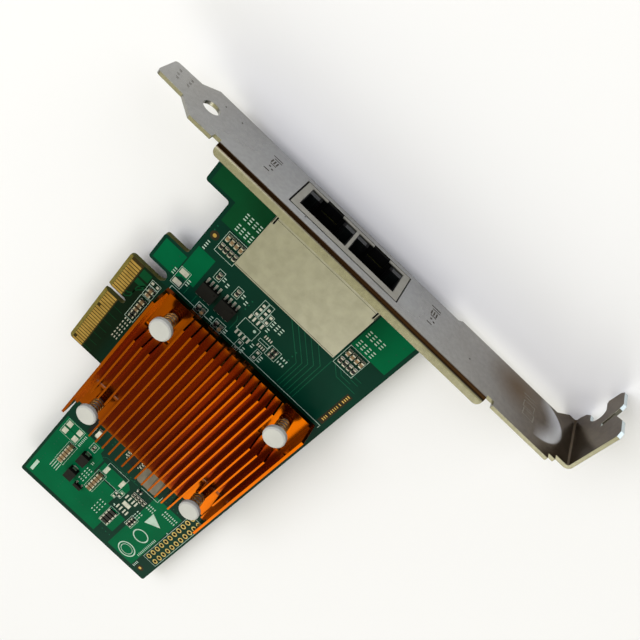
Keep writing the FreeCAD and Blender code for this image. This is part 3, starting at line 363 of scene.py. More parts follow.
def sleeve_material():
    """Dull gold plating, with painted shade inside its bores."""
    made, tree, shader, place = start_material("sleeve_plating")
    fine = noise(tree, place, SPECKLE)
    ring = between(tree, fine, (150, 128, 72), (178, 156, 94))
    # Painted shade for the bores.
    bore = between(tree, fine, (36, 24, 10), (58, 42, 20))
    shown = spread(tree, openness(tree, 1.0), 0.0, 1.0, 0.5, 0.9)
    tree.links.new(mixed(tree, shown, bore, ring), shader.inputs["Base Color"])
    shader.inputs["Metallic"].default_value = 0.8
    tree.links.new(spread(tree, fine, 0.3, 0.45), shader.inputs["Roughness"])
    relief(tree, shader, fine, 0.15, 0.01)
    return made


# Plain materials by a short name: the full name, the darkest and lightest colour, how
# metallic, the lowest and highest roughness, the grain's scale, and what else differs.
PLAIN_MATERIALS = {
    "fill": ("copper_under_mask", (0, 84, 51), (0, 96, 59), 0.0, (0.3, 0.4), 80.0, {"shine": 0.02}),
    # A darker copy of the copper under the mask: painted shadow.
    "foot_fill": (
        "shaded_copper_under_mask", (0, 56, 28), (0, 68, 36), 0.0, (0.3, 0.4), 80.0, {"shine": 0.05},
    ),
    "trace": ("trace_under_mask", (12, 76, 54), (20, 88, 62), 0.0, (0.3, 0.4), 120.0, {"shine": 0.05}),
    "bare": ("bare_laminate", (30, 30, 18), (46, 40, 24), 0.0, (0.5, 0.6), 300.0, {"shine": 0.1}),
    "ink": ("pale_ink", (158, 184, 170), (186, 206, 195), 0.0, (0.5, 0.65), 500.0, {"shine": 0.1}),
    "stamp": ("stamped_marks", (52, 48, 42), (72, 66, 58), 0.4, (0.4, 0.5), 500.0, {"shine": 0.1}),
    "rub": ("rubbed_marks", (118, 114, 102), (146, 142, 128), 0.8, (0.35, 0.45), 500.0, {}),
    "gold": ("gold_plate", (150, 120, 60), (182, 150, 82), 0.9, (0.3, 0.4), 300.0, {}),
    "tin": ("tinned_metal", (150, 148, 142), (188, 186, 178), 1.0, (0.25, 0.42), 700.0, {"bevel": 0.04}),
    "pad_tin": ("tinned_pads", (168, 168, 160), (200, 200, 190), 0.5, (0.4, 0.55), 700.0, {}),
    "steel": ("screw_steel", (150, 149, 147), (163, 162, 159), 1.0, (0.26, 0.38), 400.0, {"bevel": 0.1}),
    # The spring's bronze tone stands in for the orange heatsink reflected in its steel: painted reflection.
    "spring": ("spring_wire", (168, 122, 66), (206, 162, 98), 1.0, (0.25, 0.35), 900.0, {}),
    "shield": (
        "shield_sheet", (148, 146, 136), (160, 158, 148), 1.0, (0.3, 0.36), 420.0,
        {"bump": 0.03, "distance": 0.004, "bevel": 0.12},
    ),
    "jack": (
        "jack_plastic", (6, 6, 7), (11, 11, 12), 0.0, (0.4, 0.55), 200.0, {"bevel": 0.08, "shine": 0.05},
    ),
    "pipe": (
        "pipe_plastic", (9, 12, 12), (16, 20, 20), 0.0, (0.15, 0.25), 200.0, {"bevel": 0.08, "shine": 0.3},
    ),
    "chip": (
        "chip_plastic", (8, 8, 7), (15, 15, 13), 0.0, (0.45, 0.6), 400.0, {"bevel": 0.1, "shine": 0.12},
    ),
    "nylon": (
        "white_nylon", (184, 184, 182), (194, 194, 191), 0.0, (0.4, 0.5), 120.0,
        {"bump": 0.08, "bevel": 0.15},
    ),
    "pad": ("grey_pad", (120, 122, 124), (140, 142, 144), 0.0, (0.6, 0.7), 200.0, {}),
    "ferrite": ("inductor_body", (100, 93, 82), (122, 114, 100), 0.0, (0.5, 0.65), 300.0, {"bevel": 0.2}),
    "ceramic": ("brown_ceramic", (110, 88, 60), (138, 112, 80), 0.0, (0.35, 0.5), 500.0, {"bevel": 0.08}),
    "white_ceramic": (
        "white_ceramic", (196, 194, 184), (214, 212, 204), 0.0, (0.4, 0.5), 500.0, {"bevel": 0.06},
    ),
    "film": ("resistor_film", (10, 10, 11), (20, 20, 21), 0.0, (0.3, 0.4), 500.0, {"shine": 0.2}),
    "dark": ("dark_gap", (10, 10, 9), (18, 17, 15), 0.0, (0.6, 0.7), 200.0, {"shine": 0.05}),
}


def make_materials():
    """Every material by a short name."""
    made = {
        "board": board_material(),
        "sink": sink_material(),
        "bracket": bracket_material(),
        "sleeve": sleeve_material(),
    }
    for short, (name, dark, light, metal, rough, scale, more) in PLAIN_MATERIALS.items():
        made[short] = plain_material(name, dark, light, metal, rough, scale, **more)
    return made


MATERIALS = make_materials()

NODE_MATERIALS = {
    "circuit_board": "board",
    "edge_contacts_component_side": "gold",
    "edge_contacts_solder_side": "gold",
    "header_plated_holes": "sleeve",
    "io_bracket": "bracket",
    "bracket_screws": "steel",
    "jack_shield": "shield",
    "jack_housing": "jack",
    "jack_light_pipes": "pipe",
    "jack_contacts": "gold",
    "jack_magnetics": "jack",
    "jack_solder_pins": "tin",
    "heatsink": "sink",
    "push_pins": "nylon",
    "push_pin_springs": "spring",
    "network_controller": "chip",
    "thermal_pad": "pad",
    "memory_chips": "chip",
    "memory_chip_leads": "tin",
    "regulator_chip": "chip",
    "regulator_chip_leads": "tin",
    "power_inductor": "ferrite",
    "power_inductor_terminals": "tin",
    "rectifier_diodes": "chip",
    "rectifier_diode_leads": "tin",
    "transistor": "chip",
    "transistor_leads": "tin",
    "filter_block": "chip",
    "large_ceramic_capacitors": "ceramic",
    "large_ceramic_capacitors_ends": "tin",
    "small_ceramic_capacitors": "ceramic",
    "small_ceramic_capacitors_ends": "tin",
    "chip_resistors": "film",
    "chip_resistors_ends": "tin",
    "power_resistors": "film",
    "power_resistors_ends": "tin",
    "ceramic_fuse": "white_ceramic",
    "ceramic_fuse_ends": "tin",
}


def dress_nodes():
    """Gives every CAD node its material."""
    for name, short in NODE_MATERIALS.items():
        mesh = NODES[name].data
        mesh.materials.clear()
        mesh.materials.append(MATERIALS[short])


# ---------------------------------------------------------------- flat shapes

FINE_LINE = 0.11
BROAD_LINE = 0.16
DASH_LONG = 0.78
DASH_THICK = 0.3
DASH_PITCH = 0.8
# A line's half width is divided by no less than this at a bend, so that sharp corners stay short.
SHARPEST_MITRE = 0.3


def row(first, pitch, count):
    """Places at one pitch."""
    return [first + pitch * i for i in range(count)]


class Flat:
    """Thin pieces of one material collected into one mesh.

    They lie on the board, or when upright on the bracket's outer face, where the two
    places given are along Y and Z.
    """

    def __init__(self, name, material, low, high, upright=False):
        self.upright = upright
        self.name = name
        self.material = material
        self.low = low
        self.high = high
        self.vertices = []
        self.faces = []

    def prism(self, outline):
        """An outline, counter-clockwise from above, given its thickness."""
        first = len(self.vertices)
        count = len(outline)
        self.vertices += [(x, y, self.low) for x, y in outline]
        self.vertices += [(x, y, self.high) for x, y in outline]
        self.faces.append(tuple(first + count + i for i in range(count)))
        self.faces.append(tuple(first + count - 1 - i for i in range(count)))
        for i in range(count):
            j = (i + 1) % count
            self.faces.append((first + i, first + j, first + count + j, first + count + i))

    def box(self, x0, y0, x1, y1):
        """A rectangle between two corners."""
        self.prism(((x0, y0), (x1, y0), (x1, y1), (x0, y1)))

    def boxes_from(self, x, y, boxes):
        """Rectangles whose corners are given from one point."""
        for x0, y0, x1, y1 in boxes:
            self.box(x + x0, y + y0, x + x1, y + y1)

    def centred(self, x, y, wide, tall):
        """A rectangle about a middle."""
        self.box(x - wide / 2, y - tall / 2, x + wide / 2, y + tall / 2)

    def disc(self, x, y, radius, sides=24):
        """A filled circle."""
        turns = row(0.0, 2 * math.pi / sides, sides)
        self.prism([(x + radius * math.cos(turn), y + radius * math.sin(turn)) for turn in turns])

    def ring(self, x, y, inner, outer, sides=40):
        """A circle drawn with a line."""
        turn = 2 * math.pi / sides
        for i in range(sides):
            a, b = turn * i, turn * (i + 1)
            self.prism((
                (x + inner * math.cos(a), y + inner * math.sin(a)),
                (x + outer * math.cos(a), y + outer * math.sin(a)),
                (x + outer * math.cos(b), y + outer * math.sin(b)),
                (x + inner * math.cos(b), y + inner * math.sin(b)),
            ))

    def line(self, points, width, closed=False):
        """A line of one width with mitred corners."""
        points = [Vector(point) for point in points]
        count = len(points)
        left, right = [], []
        for i in range(count):
            before = points[i - 1] if (closed or i > 0) else None
            after = points[(i + 1) % count] if (closed or i < count - 1) else None
            sides = []
            if before is not None:
                way = (points[i] - before).normalized()
                sides.append(Vector((-way.y, way.x)))
            if after is not None:
                way = (after - points[i]).normalized()
                sides.append(Vector((-way.y, way.x)))
            side = sum(sides, Vector((0, 0))).normalized()
            reach = width / 2 / max(SHARPEST_MITRE, side.dot(sides[0]))
            left.append(points[i] + side * reach)
            right.append(points[i] - side * reach)
        last = count if closed else count - 1
        for i in range(last):
            j = (i + 1) % count
            self.prism([tuple(p) for p in (right[i], right[j], left[j], left[i])])

    def frame(self, x0, y0, x1, y1, width=FINE_LINE):
        """A rectangle drawn with a line."""
        self.line(((x0, y0), (x1, y0), (x1, y1), (x0, y1)), width, closed=True)

    def dashes(self, x, y, count, across=True, long_side=DASH_LONG, thick=DASH_THICK, pitch=DASH_PITCH):
        """A short row of plain dashes, across or up the board."""
        for i in range(count):
            if across:
                self.centred(x + pitch * i, y, thick, long_side)
            else:
                self.centred(x, y + pitch * i, long_side, thick)

    def make(self):
        """The collected mesh as one object on the card."""
        mesh = bpy.data.meshes.new(self.name)
        places = self.vertices
        faces = self.faces
        if self.upright:
            places = [(FACE_X - height, along, up) for along, up, height in places]
            faces = [tuple(reversed(face)) for face in faces]
        mesh.from_pydata([(x * MM, y * MM, z * MM) for x, y, z in places], [], faces)
        mesh.materials.append(self.material)
        mesh.update()
        made = bpy.data.objects.new(self.name, mesh)
        bpy.context.scene.collection.objects.link(made)
        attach(made, "root")
        return made


def islands(node):
    """The bounding box, in millimetres, of every separate solid of a CAD node."""
    mesh = NODES[node].data
    parent = {}

    def root(key):
        while parent[key] != key:
            parent[key] = parent[parent[key]]
            key = parent[key]
        return key

    keys = []
    for vertex in mesh.vertices:
        key = tuple(round(c / MM, 4) for c in vertex.co)
        keys.append(key)
        parent.setdefault(key, key)
    for polygon in mesh.polygons:
        first = root(keys[polygon.vertices[0]])
        for index in polygon.vertices[1:]:
            parent[root(keys[index])] = first
    groups = {}
    for key in parent:
        groups.setdefault(root(key), []).append(key)
    return [
        (tuple(min(c) for c in zip(*points)), tuple(max(c) for c in zip(*points)))
        for points in groups.values()
    ]


# ---------------------------------------------------------------- copper and mask

# Outlines of the copper areas that show through the mask.
FILLS = (
    ((-49.8, 53.7), (-38.2, 53.7), (-38.2, 64.4), (-49.8, 64.4)),
    ((-28.7, 11.8), (-17.0, 11.8), (-18.5, 13.3), (-18.5, 17.2), (-28.7, 17.2)),
    ((-23.9, 4.6), (-17.1, 4.6), (-17.1, 11.4), (-23.9, 11.4)),
    ((46.0, 49.2), (76.7, 49.2), (76.7, 59.4), (46.0, 59.4)),
    ((62.9, 45.4), (71.3, 45.4), (71.3, 47.7), (62.9, 47.7)),
    (
        (46.3, 14.2), (76.8, 14.2), (76.8, 43.2), (71.3, 43.2), (71.3, 45.4), (62.9, 45.4),
        (62.9, 40.6), (58.4, 40.6), (56.6, 38.8), (56.6, 30.6), (50.0, 30.6), (48.6, 28.6), (46.3, 28.6),
    ),
    ((50.2, 31.3), (55.9, 31.3), (55.9, 42.3), (51.6, 42.3), (50.2, 40.9)),
)
# A copper area drawn in the darker copy: painted shadow.
FOOT_FILL = ((-56.4, 4.4), (-44.2, 4.4), (-44.2, 11.9), (-38.2, 11.9), (-38.2, 20.7), (-56.4, 20.7))

# Darker copper above the contacts, as painted shadow: two blocks, two bent tracks and a row of straight
# ones.
SHADED_BLOCKS = ((-12.2, 5.0, -9.6, 7.9), (-8.9, 5.0, -7.2, 7.9))
BENT_STARTS = (-8.8, -7.4)
BENT_TRACK = ((0.0, 8.2), (2.2, 6.4), (4.6, 6.4), (5.6, 5.4), (5.6, 4.6))
BENT_WIDTH = 0.3
STRAIGHT_PLACES = row(3.5, 2.9, 7)
STRAIGHT_SPAN = (4.5, 7.6)
STRAIGHT_WIDTH = 0.12


def make_fills():
    """Copper areas that show lighter through the mask, and darker ones as painted shadow."""
    fills = Flat("copper_areas", MATERIALS["fill"], 0.0, FILL_TOP)
    for outline in FILLS:
        fills.prism(outline)
    fills.make()
    foot = Flat("copper_areas_foot", MATERIALS["foot_fill"], 0.0, FILL_TOP)
    foot.prism(FOOT_FILL)
    for corners in SHADED_BLOCKS:
        foot.box(*corners)
    for start in BENT_STARTS:
        foot.line([(start + along, y) for along, y in BENT_TRACK], BENT_WIDTH)
    for x in STRAIGHT_PLACES:
        foot.line([(x, y) for y in STRAIGHT_SPAN], STRAIGHT_WIDTH)
    foot.make()


TRACK_WIDTH = 0.16

# The fan of tracks from the heatsink to the jack: each one's height on the board, and
# where it bends. From the bend on they run down at 45 degrees.
FAN = ((52.7, -27.6), (51.5, -26.4), (50.3, -25.5), (49.2, -24.5), (48.2, -23.4))
FAN_START_X = -15.2
FAN_END_X = -38.6
TRACKS = (
    ((-31.0, 53.7), (-15.0, 53.7)),
    ((-32.1, 62.4), (-32.1, 60.0)),
    ((-30.8, 62.4), (-30.8, 60.0)),
    ((-29.8, 60.8), (-29.8, 57.8), (-31.0, 56.6)),
    ((-28.6, 63.3), (-28.6, 57.2), (-31.0, 54.8)),
    ((-21.6, 29.9), (-20.4, 30.6), (-17.0, 30.6)),
    ((-17.4, 19.2), (-14.9, 19.2)),
    ((-24.3, 37.6), (-23.4, 38.9), (-22.9, 38.9)),
    ((-17.8, 16.4), (-15.2, 16.4)),
    ((48.0, 43.0), (48.0, 30.9), (49.0, 29.9), (56.2, 29.9)),
    ((48.6, 47.9), (48.6, 52.9), (49.2, 53.5)),
)


def make_traces():
    """Thin tracks from the jack to the controller, and a few others."""
    traces = Flat("traces", MATERIALS["trace"], 0.0, TRACE_TOP)
    for y, bend in FAN:
        low = y - (bend - FAN_END_X)
        traces.line(((FAN_START_X, y), (bend, y), (FAN_END_X, low)), TRACK_WIDTH)
    for points in TRACKS:
        traces.line(points, TRACK_WIDTH)
    traces.make()


# The two fiducials, and a strip of bare board with groups of gold dashes: where each
# group starts and how many it has.
FIDUCIALS = ((-33.9, 13.1), (75.2, 62.1))
FIDUCIAL_RADIUS = 0.52
FIDUCIAL_CLEARING = 1.25
STRIP = (-27.3, 62.2, -15.2, 63.9)
STRIP_GROUPS = ((-26.7, 4), (-23.3, 1), (-22.2, 5), (-18.0, 3))
STRIP_MIDDLE = 63.05


def make_bare_patches():
    """Unmasked laminate: round the fiducials and along one label strip."""
    bare = Flat("mask_openings", MATERIALS["bare"], 0.0, TRACE_TOP)
    for x, y in FIDUCIALS:
        bare.disc(x, y, FIDUCIAL_CLEARING)
    bare.box(*STRIP)
    bare.make()
    gold = Flat("fiducials_and_strip", MATERIALS["gold"], 0.0, PAD_TOP)
    for x, y in FIDUCIALS:
        gold.disc(x, y, FIDUCIAL_RADIUS)
    for x, count in STRIP_GROUPS:
        gold.dashes(x, STRIP_MIDDLE, count, long_side=0.75, pitch=0.72)
    gold.make()


VIA_RADIUS = 0.22

# Rows of vias: where each starts, how many it has and their pitch.
VIA_ROWS = (
    (-47.0, 62.6, 3, 2.6), (-25.6, 46.4, 4, 1.6), (-27.6, 30.2, 3, 1.5), (-36.4, 12.2, 2, 1.3),
    (-22.6, 9.9, 3, 1.8), (60.8, 36.9, 1, 1.0), (68.4, 25.9, 4, 1.5), (40.0, 52.4, 3, 1.5),
    (39.2, 29.4, 3, 1.6), (65.6, 16.2, 3, 1.6), (56.4, 16.4, 3, 1.6),
)
VIA_COLUMNS = ((71.6, 32.6, 3, 1.4), (47.4, 38.2, 3, 1.6), (73.4, 44.8, 3, 1.5), (44.9, 52.3, 4, 1.5))


def make_vias():
    """Small plated holes in short rows and columns."""
    vias = Flat("vias", MATERIALS["trace"], 0.0, TRACE_TOP)
    for x, y, count, pitch in VIA_ROWS:
        for place in row(x, pitch, count):
            vias.disc(place, y, VIA_RADIUS, sides=12)
    for x, y, count, pitch in VIA_COLUMNS:
        for place in row(y, pitch, count):
            vias.disc(x, place, VIA_RADIUS, sides=12)
    vias.make()


# ---------------------------------------------------------------- pads

CHIP_ENDS = (
    "large_ceramic_capacitors_ends",
    "small_ceramic_capacitors_ends",
    "chip_resistors_ends",
    "power_resistors_ends",
    "ceramic_fuse_ends",
)
LEADS = ("memory_chip_leads", "regulator_chip_leads", "transistor_leads", "rectifier_diode_leads")

# How far a fitted part's pads show beyond its metal, along X and along Y.
PAD_MARGINS = ((CHIP_ENDS, 0.12, 0.12), (LEADS, 0.15, 0.1))

# Single unfitted pads, each a square of this side.
SQUARE_PAD = 0.75
SQUARE_PADS = (
    (-17.6, 39.9), (-15.7, 39.9), (-16.1, 34.9), (-14.2, 34.9),
    (-27.8, 36.2), (-25.9, 36.2), (-29.0, 34.6), (-27.6, 34.6), (-25.9, 34.6),
    (-29.0, 33.0), (-27.6, 33.0), (-25.9, 33.0),
    (55.1, 41.4), (56.9, 41.4), (56.8, 40.1), (58.5, 40.1),
    (-10.75, 10.6), (-10.75, 9.0),
)

# Unfitted parts: the columns and rows of their pads, and each pad's width and height.
PAD_GROUPS = (
    ((-24.2, -18.0), (36.1, 34.8, 33.5, 32.3), 1.4, 0.55),
    ((-22.75, -19.5), row(38.35, 0.66, 4), 0.9, 0.3),
    ((-19.9, -16.4), (13.3,), 1.6, 2.4),
    ((54.7, 60.5), (46.7, 45.6, 44.3, 43.1), 2.0, 0.5),
    ((57.6,), (44.8,), 1.9, 2.7),
    ((52.2,), (39.5, 33.3), 3.3, 1.25),
    ((48.4, 51.7), (20.1, 16.2), 2.4, 1.7),
    (row(3.7, 1.48, 6), (10.7, 9.9, 9.1), 0.7, 0.3),
)


def make_pads():
    """Tinned pads of the parts that are fitted and of those that aren't."""
    pads = Flat("solder_pads", MATERIALS["pad_tin"], 0.0, PAD_TOP)
    for nodes, wider, taller in PAD_MARGINS:
        for node in nodes:
            for low, high in islands(node):
                pads.box(low[0] - wider, low[1] - taller, high[0] + wider, high[1] + taller)
    for x, y in SQUARE_PADS:
        pads.centred(x, y, SQUARE_PAD, SQUARE_PAD)
    for columns, rows, wide, tall in PAD_GROUPS:
        for x in columns:
            for y in rows:
                pads.centred(x, y, wide, tall)
    pads.make()


# ---------------------------------------------------------------- white ink

# Outlines round parts, each from its low corner to its high one.
INK_FRAMES = (
    (41.6, 59.9, 69.6, 64.8),
    (-38.0, 53.9, -34.7, 59.8), (-34.7, 53.9, -31.2, 59.8),
    (-37.6, 15.1, -34.5, 20.9), (-34.5, 15.1, -30.9, 20.9),
    (-22.3, 41.0, -18.9, 44.2), (-21.45, 37.7, -20.5, 40.8),
    (-18.4, 39.1, -14.9, 40.7), (-16.9, 34.1, -13.4, 35.7),
    (-22.85, 31.6, -18.85, 36.7),
    (-28.5, 35.5, -25.2, 36.9), (-30.5, 33.8, -25.2, 35.3), (-30.5, 32.2, -25.2, 33.6),
    (-28.1, 25.3, -24.9, 27.1), (-28.1, 19.2, -24.9, 21.1),
    (-16.75, 26.6, -13.55, 29.75), (-16.75, 20.6, -13.55, 23.75),
    (-21.0, 11.8, -15.2, 14.9),
    (-11.6, 8.4, -9.9, 11.3), (-9.7, 8.4, -8.1, 11.3), (-7.8, 8.4, -6.2, 11.3), (-5.8, 8.4, 3.1, 11.3),
    (48.8, 32.6, 55.8, 40.1), (54.0, 19.3, 64.0, 22.5), (54.4, 31.4, 64.0, 34.6),
    (59.3, 48.3, 64.3, 50.9), (62.7, 41.8, 71.0, 45.2),
    (46.7, 15.0, 50.05, 21.3), (50.05, 15.0, 53.4, 21.3),
    (54.3, 40.7, 57.6, 42.1), (56.1, 39.4, 59.2, 40.7), (47.2, 25.0, 50.4, 27.2),
)

# Broad lines: the heatsink's outline where it shows, and two short ones past its far end.
INK_LINES = (
    ((-13.4, 63.8), (-14.5, 63.8), (-14.5, 12.9), (-13.2, 12.9)),
    ((47.5, 50.6), (47.5, 44.2)),
    ((44.4, 50.6), (47.5, 50.6)),
)

# Blocks of dashes: the columns where rows start, the rows, and the dashes in each.
DASH_BLOCKS = (
    ((-44.2, -40.7), (59.0, 57.65, 56.25, 54.9), 3),
    ((-44.2, -40.7), (20.1, 18.75, 17.35, 16.0), 3),
    ((-27.7,), (40.3, 38.95, 37.6), 3),
)

# Single rows of dashes: where each starts and how many it has.
DASH_ROWS = (
    (-26.3, 29.3, 2), (-27.2, 27.9, 2), (-26.3, 23.2, 2), (-27.0, 21.8, 2), (-17.3, 41.4, 3),
    (-15.6, 36.6, 3), (-18.4, 37.6, 2), (-24.9, 37.6, 2), (-19.2, 15.6, 3), (-19.2, 11.0, 3),
    (-31.6, 12.9, 4), (-15.9, 30.4, 2), (-15.9, 25.6, 2), (53.9, 28.9, 2), (47.8, 22.3, 7),
    (73.9, 60.1, 4), (54.6, 59.6, 1), (60.8, 58.7, 14),
)

# Dashes stacked up the board: the columns, their lowest dash, how many and their pitch.
DASH_STACKS = (
    ((-21.4, -19.8), 44.9, 3, 0.8),
    ((48.2, 49.8), 54.3, 7, 0.74),
    ((50.8, 52.3), 49.6, 4, 0.74),
    ((64.0, 65.9, 67.8, 69.6), 38.1, 3, 1.0),
    ((57.4, 59.2, 61.0, 62.9), 28.7, 3, 0.8),
    ((56.4, 58.0, 59.2), 48.6, 3, 0.8),
)

# Long bars: where they stand, their rows, and each one's width and height.
INK_BARS = (
    (66.3, (22.0, 21.2, 20.3, 19.5), 3.6, 0.22),
    (-23.9, (28.45, 27.15, 25.85, 24.85), 0.5, 0.12),
)

INK_RINGS = ((63.7, 54.7, 2.3, 2.7), (72.8, 54.8, 2.7, 3.1), (72.8, 54.8, 1.9, 2.1))
INK_TRIANGLES = (
    ((52.3, 52.3), (57.8, 52.3), (55.0, 56.9)),
    ((60.9, 41.6), (61.9, 42.4), (60.9, 42.4)),
)
INK_PLATES = ((70.3, 15.5, 75.6, 16.6), (58.6, 25.0, 58.95, 27.2))
PIN_ONE_DOT = (-21.6, 35.6, 0.42)


def make_ink():
    """Outlines, pin marks and plain dashes where small labels would be."""
    ink = Flat("white_ink", MATERIALS["ink"], INK_LOW, INK_TOP)
    for corners in INK_FRAMES:
        ink.frame(*corners)
    for points in INK_LINES:
        ink.line(points, BROAD_LINE)
    ink.disc(*PIN_ONE_DOT)
    for columns, rows, count in DASH_BLOCKS:
        for y in rows:
            for x in columns:
                ink.dashes(x, y, count)
    for x, y, count in DASH_ROWS:
        ink.dashes(x, y, count)
    for columns, low, count, pitch in DASH_STACKS:
        for x in columns:
            ink.dashes(x, low, count, across=False, pitch=pitch)
    for x, rows, wide, tall in INK_BARS:
        for y in rows:
            ink.centred(x, y, wide, tall)
    for x, y, inner, outer in INK_RINGS:
        ink.ring(x, y, inner, outer)
    for outline in INK_TRIANGLES:
        ink.prism(outline)
    for corners in INK_PLATES:
        ink.box(*corners)
    ink.make()


# ---------------------------------------------------------------- jack and chips

SEAM_THICK = 0.01

# Seams in the shield's roof: two slits by its sides, reaching from one distance behind
# its front to another, one seam across behind the front and one before the back. An
# inset is the distance from the shield's sides.
SLIT_SPAN = (3.9, 6.9)
SLIT_INSET = 0.12
SLIT_WIDTH = 0.16
FRONT_SEAM_IN = 5.4
FRONT_SEAM_INSET = 0.4
FRONT_SEAM_WIDTH = 0.07
BACK_SEAM_IN = 0.35
BACK_SEAM_INSET = 0.3
BACK_SEAM_WIDTH = 0.1

# Dark strips in the gap between the shield and the bracket's cut-out, as painted shadow: how far back they
# lie, and their width on the side towards the contacts and on the other three.
GAP_BACK = (-0.4, -0.35)
GAP_LOW_SIDE = 0.37
GAP_WIDTH = 0.27


def make_jack_details():
    """Seams in the shield's roof, and dark strips as painted shadow in the gap round its front."""
    low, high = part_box("jack_shield")
    front, back = low.x / MM, high.x / MM
    side_low, side_high = low.y / MM, high.y / MM
    foot, top = low.z / MM, high.z / MM
    seams = Flat("shield_seams", MATERIALS["dark"], top, top + SEAM_THICK)
    for y in (side_low + SLIT_INSET, side_high - SLIT_INSET):
        seams.line([(front + along, y) for along in SLIT_SPAN], SLIT_WIDTH)
    for x, inset, width in (
        (back - BACK_SEAM_IN, BACK_SEAM_INSET, BACK_SEAM_WIDTH),
        (front + FRONT_SEAM_IN, FRONT_SEAM_INSET, FRONT_SEAM_WIDTH),
    ):
        seams.line(((x, side_low + inset), (x, side_high - inset)), width)
    seams.make()
    gap = Flat("shadow_gap", MATERIALS["dark"], GAP_BACK[0], GAP_BACK[1], upright=True)
    gap.box(side_low - GAP_LOW_SIDE, foot - GAP_WIDTH, side_low, top + GAP_WIDTH)
    gap.box(side_high, foot - GAP_WIDTH, side_high + GAP_WIDTH, top + GAP_WIDTH)
    gap.box(side_low, top, side_high, top + GAP_WIDTH)
    gap.box(side_low, foot - GAP_WIDTH, side_high, foot)
    gap.make()


MARK_TOP = 0.012

# A plain sign on either side of the jack. Its strokes and dots are given from its low corner.
SIGN_CORNERS = ((12.0, 1.6), (59.0, 0.9))
SIGN_STROKES = (
    (0.0, 0.0, 2.6, 0.32), (0.6, 0.9, 2.7, 1.2),
    (0.5, 1.7, 0.85, 3.3), (1.2, 1.7, 1.55, 3.3), (1.9, 1.7, 2.25, 3.3),
    (0.7, 3.6, 2.3, 3.9), (0.5, 6.8, 1.9, 7.15),
)
SIGN_DOTS = ((1.2, 5.0), (2.1, 5.6))
SIGN_DOT_RADIUS = 0.3

# Pairs of short strokes on the tongue.
TONGUE_CORNERS = ((-14.9, 3.2), (-14.5, 5.0), (-13.9, 6.4), (-11.6, 3.0), (-11.4, 4.4), (-11.2, 5.8))
TONGUE_STROKES = ((0.0, 0.0, 0.8, 0.13), (0.3, 0.45, 0.9, 0.58))

SPECKS = ((2.3, 1.2), (-2.6, 1.0), (26.0, 12.0), (72.0, 7.0))
SPECK_RADIUS = 0.2

# Pale rubbed marks near the screw tab: two lines and two outlines.
RUBBED_LINES = ((87.0, 0.6, 90.4, 0.76), (87.5, 1.7, 90.9, 1.86))
RUBBED_FRAMES = ((87.6, 3.0, 90.6, 5.2), (87.9, 5.9, 90.9, 8.1))


def make_face_marks():
    """Small plain strokes on the bracket's face, where a maker would stamp signs, and dark specks."""
    marks = Flat("face_strokes", MATERIALS["stamp"], 0.0, MARK_TOP, upright=True)
    for along, low in SIGN_CORNERS:
        marks.boxes_from(along, low, SIGN_STROKES)
        for dot_along, dot_up in SIGN_DOTS:
            marks.disc(along + dot_along, low + dot_up, SIGN_DOT_RADIUS, sides=12)
    for along, up in TONGUE_CORNERS:
        marks.boxes_from(along, up, TONGUE_STROKES)
    for along, up in SPECKS:
        marks.disc(along, up, SPECK_RADIUS, sides=10)
    marks.make()
    pale = Flat("face_rubs", MATERIALS["rub"], 0.0, MARK_TOP, upright=True)
    for corners in RUBBED_LINES:
        pale.box(*corners)
    for corners in RUBBED_FRAMES:
        pale.frame(*corners, width=BROAD_LINE)
    pale.make()


DIMPLE_RADIUS = 0.32
DIMPLE_INSET = 0.75
DIMPLE_THICK = 0.01


def make_chip_marks():
    """A small round dimple at pin 1 of each chip."""
    marks = Flat("pin_one_dimples", MATERIALS["dark"], 0.0, 0.0)
    for node in ("memory_chips", "regulator_chip"):
        for low, high in islands(node):
            marks.low = high[2]
            marks.high = high[2] + DIMPLE_THICK
            marks.disc(low[0] + DIMPLE_INSET, high[1] - DIMPLE_INSET, DIMPLE_RADIUS, sides=20)
    marks.make()


FILLET_REACH = 0.22
# How far up a part's end its solder climbs, as a share of the end's height.
FILLET_CLIMB = 0.45


def make_solder_fillets():
    """Sloped solder beside each chip part's ends."""
    solder = Flat("solder_fillets", MATERIALS["tin"], 0.0, 0.0)
    for node in CHIP_ENDS:
        for (x0, y0, z0), (x1, y1, z1) in islands(node):
            rise = (z1 - z0) * FILLET_CLIMB
            reach_x = FILLET_REACH if (x1 - x0) < (y1 - y0) else 0.0
            reach_y = FILLET_REACH - reach_x
            inner = ((x0, y0), (x1, y0), (x1, y1), (x0, y1))
            outer = (
                (x0 - reach_x, y0 - reach_y), (x1 + reach_x, y0 - reach_y),
                (x1 + reach_x, y1 + reach_y), (x0 - reach_x, y1 + reach_y),
            )
            first = len(solder.vertices)
            solder.vertices += [(x, y, PAD_TOP) for x, y in outer]
            solder.vertices += [(x, y, rise) for x, y in inner]
            solder.faces.append(tuple(first + 4 + i for i in range(4)))
            solder.faces.append(tuple(first + 3 - i for i in range(4)))
            for i in range(4):
                j = (i + 1) % 4
                solder.faces.append((first + i, first + j, first + 4 + j, first + 4 + i))
    solder.make()


# ---------------------------------------------------------------- stage

# The backdrop's level, where 1 is white, and where about the card the floor fades to it.
BACKDROP = 0.84
PALE_TONE = (BACKDROP, BACKDROP, BACKDROP, 1.0)
FADE_STARTS = 0.3
FADE_ENDS = 0.9

FLOOR_REACH = 20.0
FLOOR_GAP = 0.05


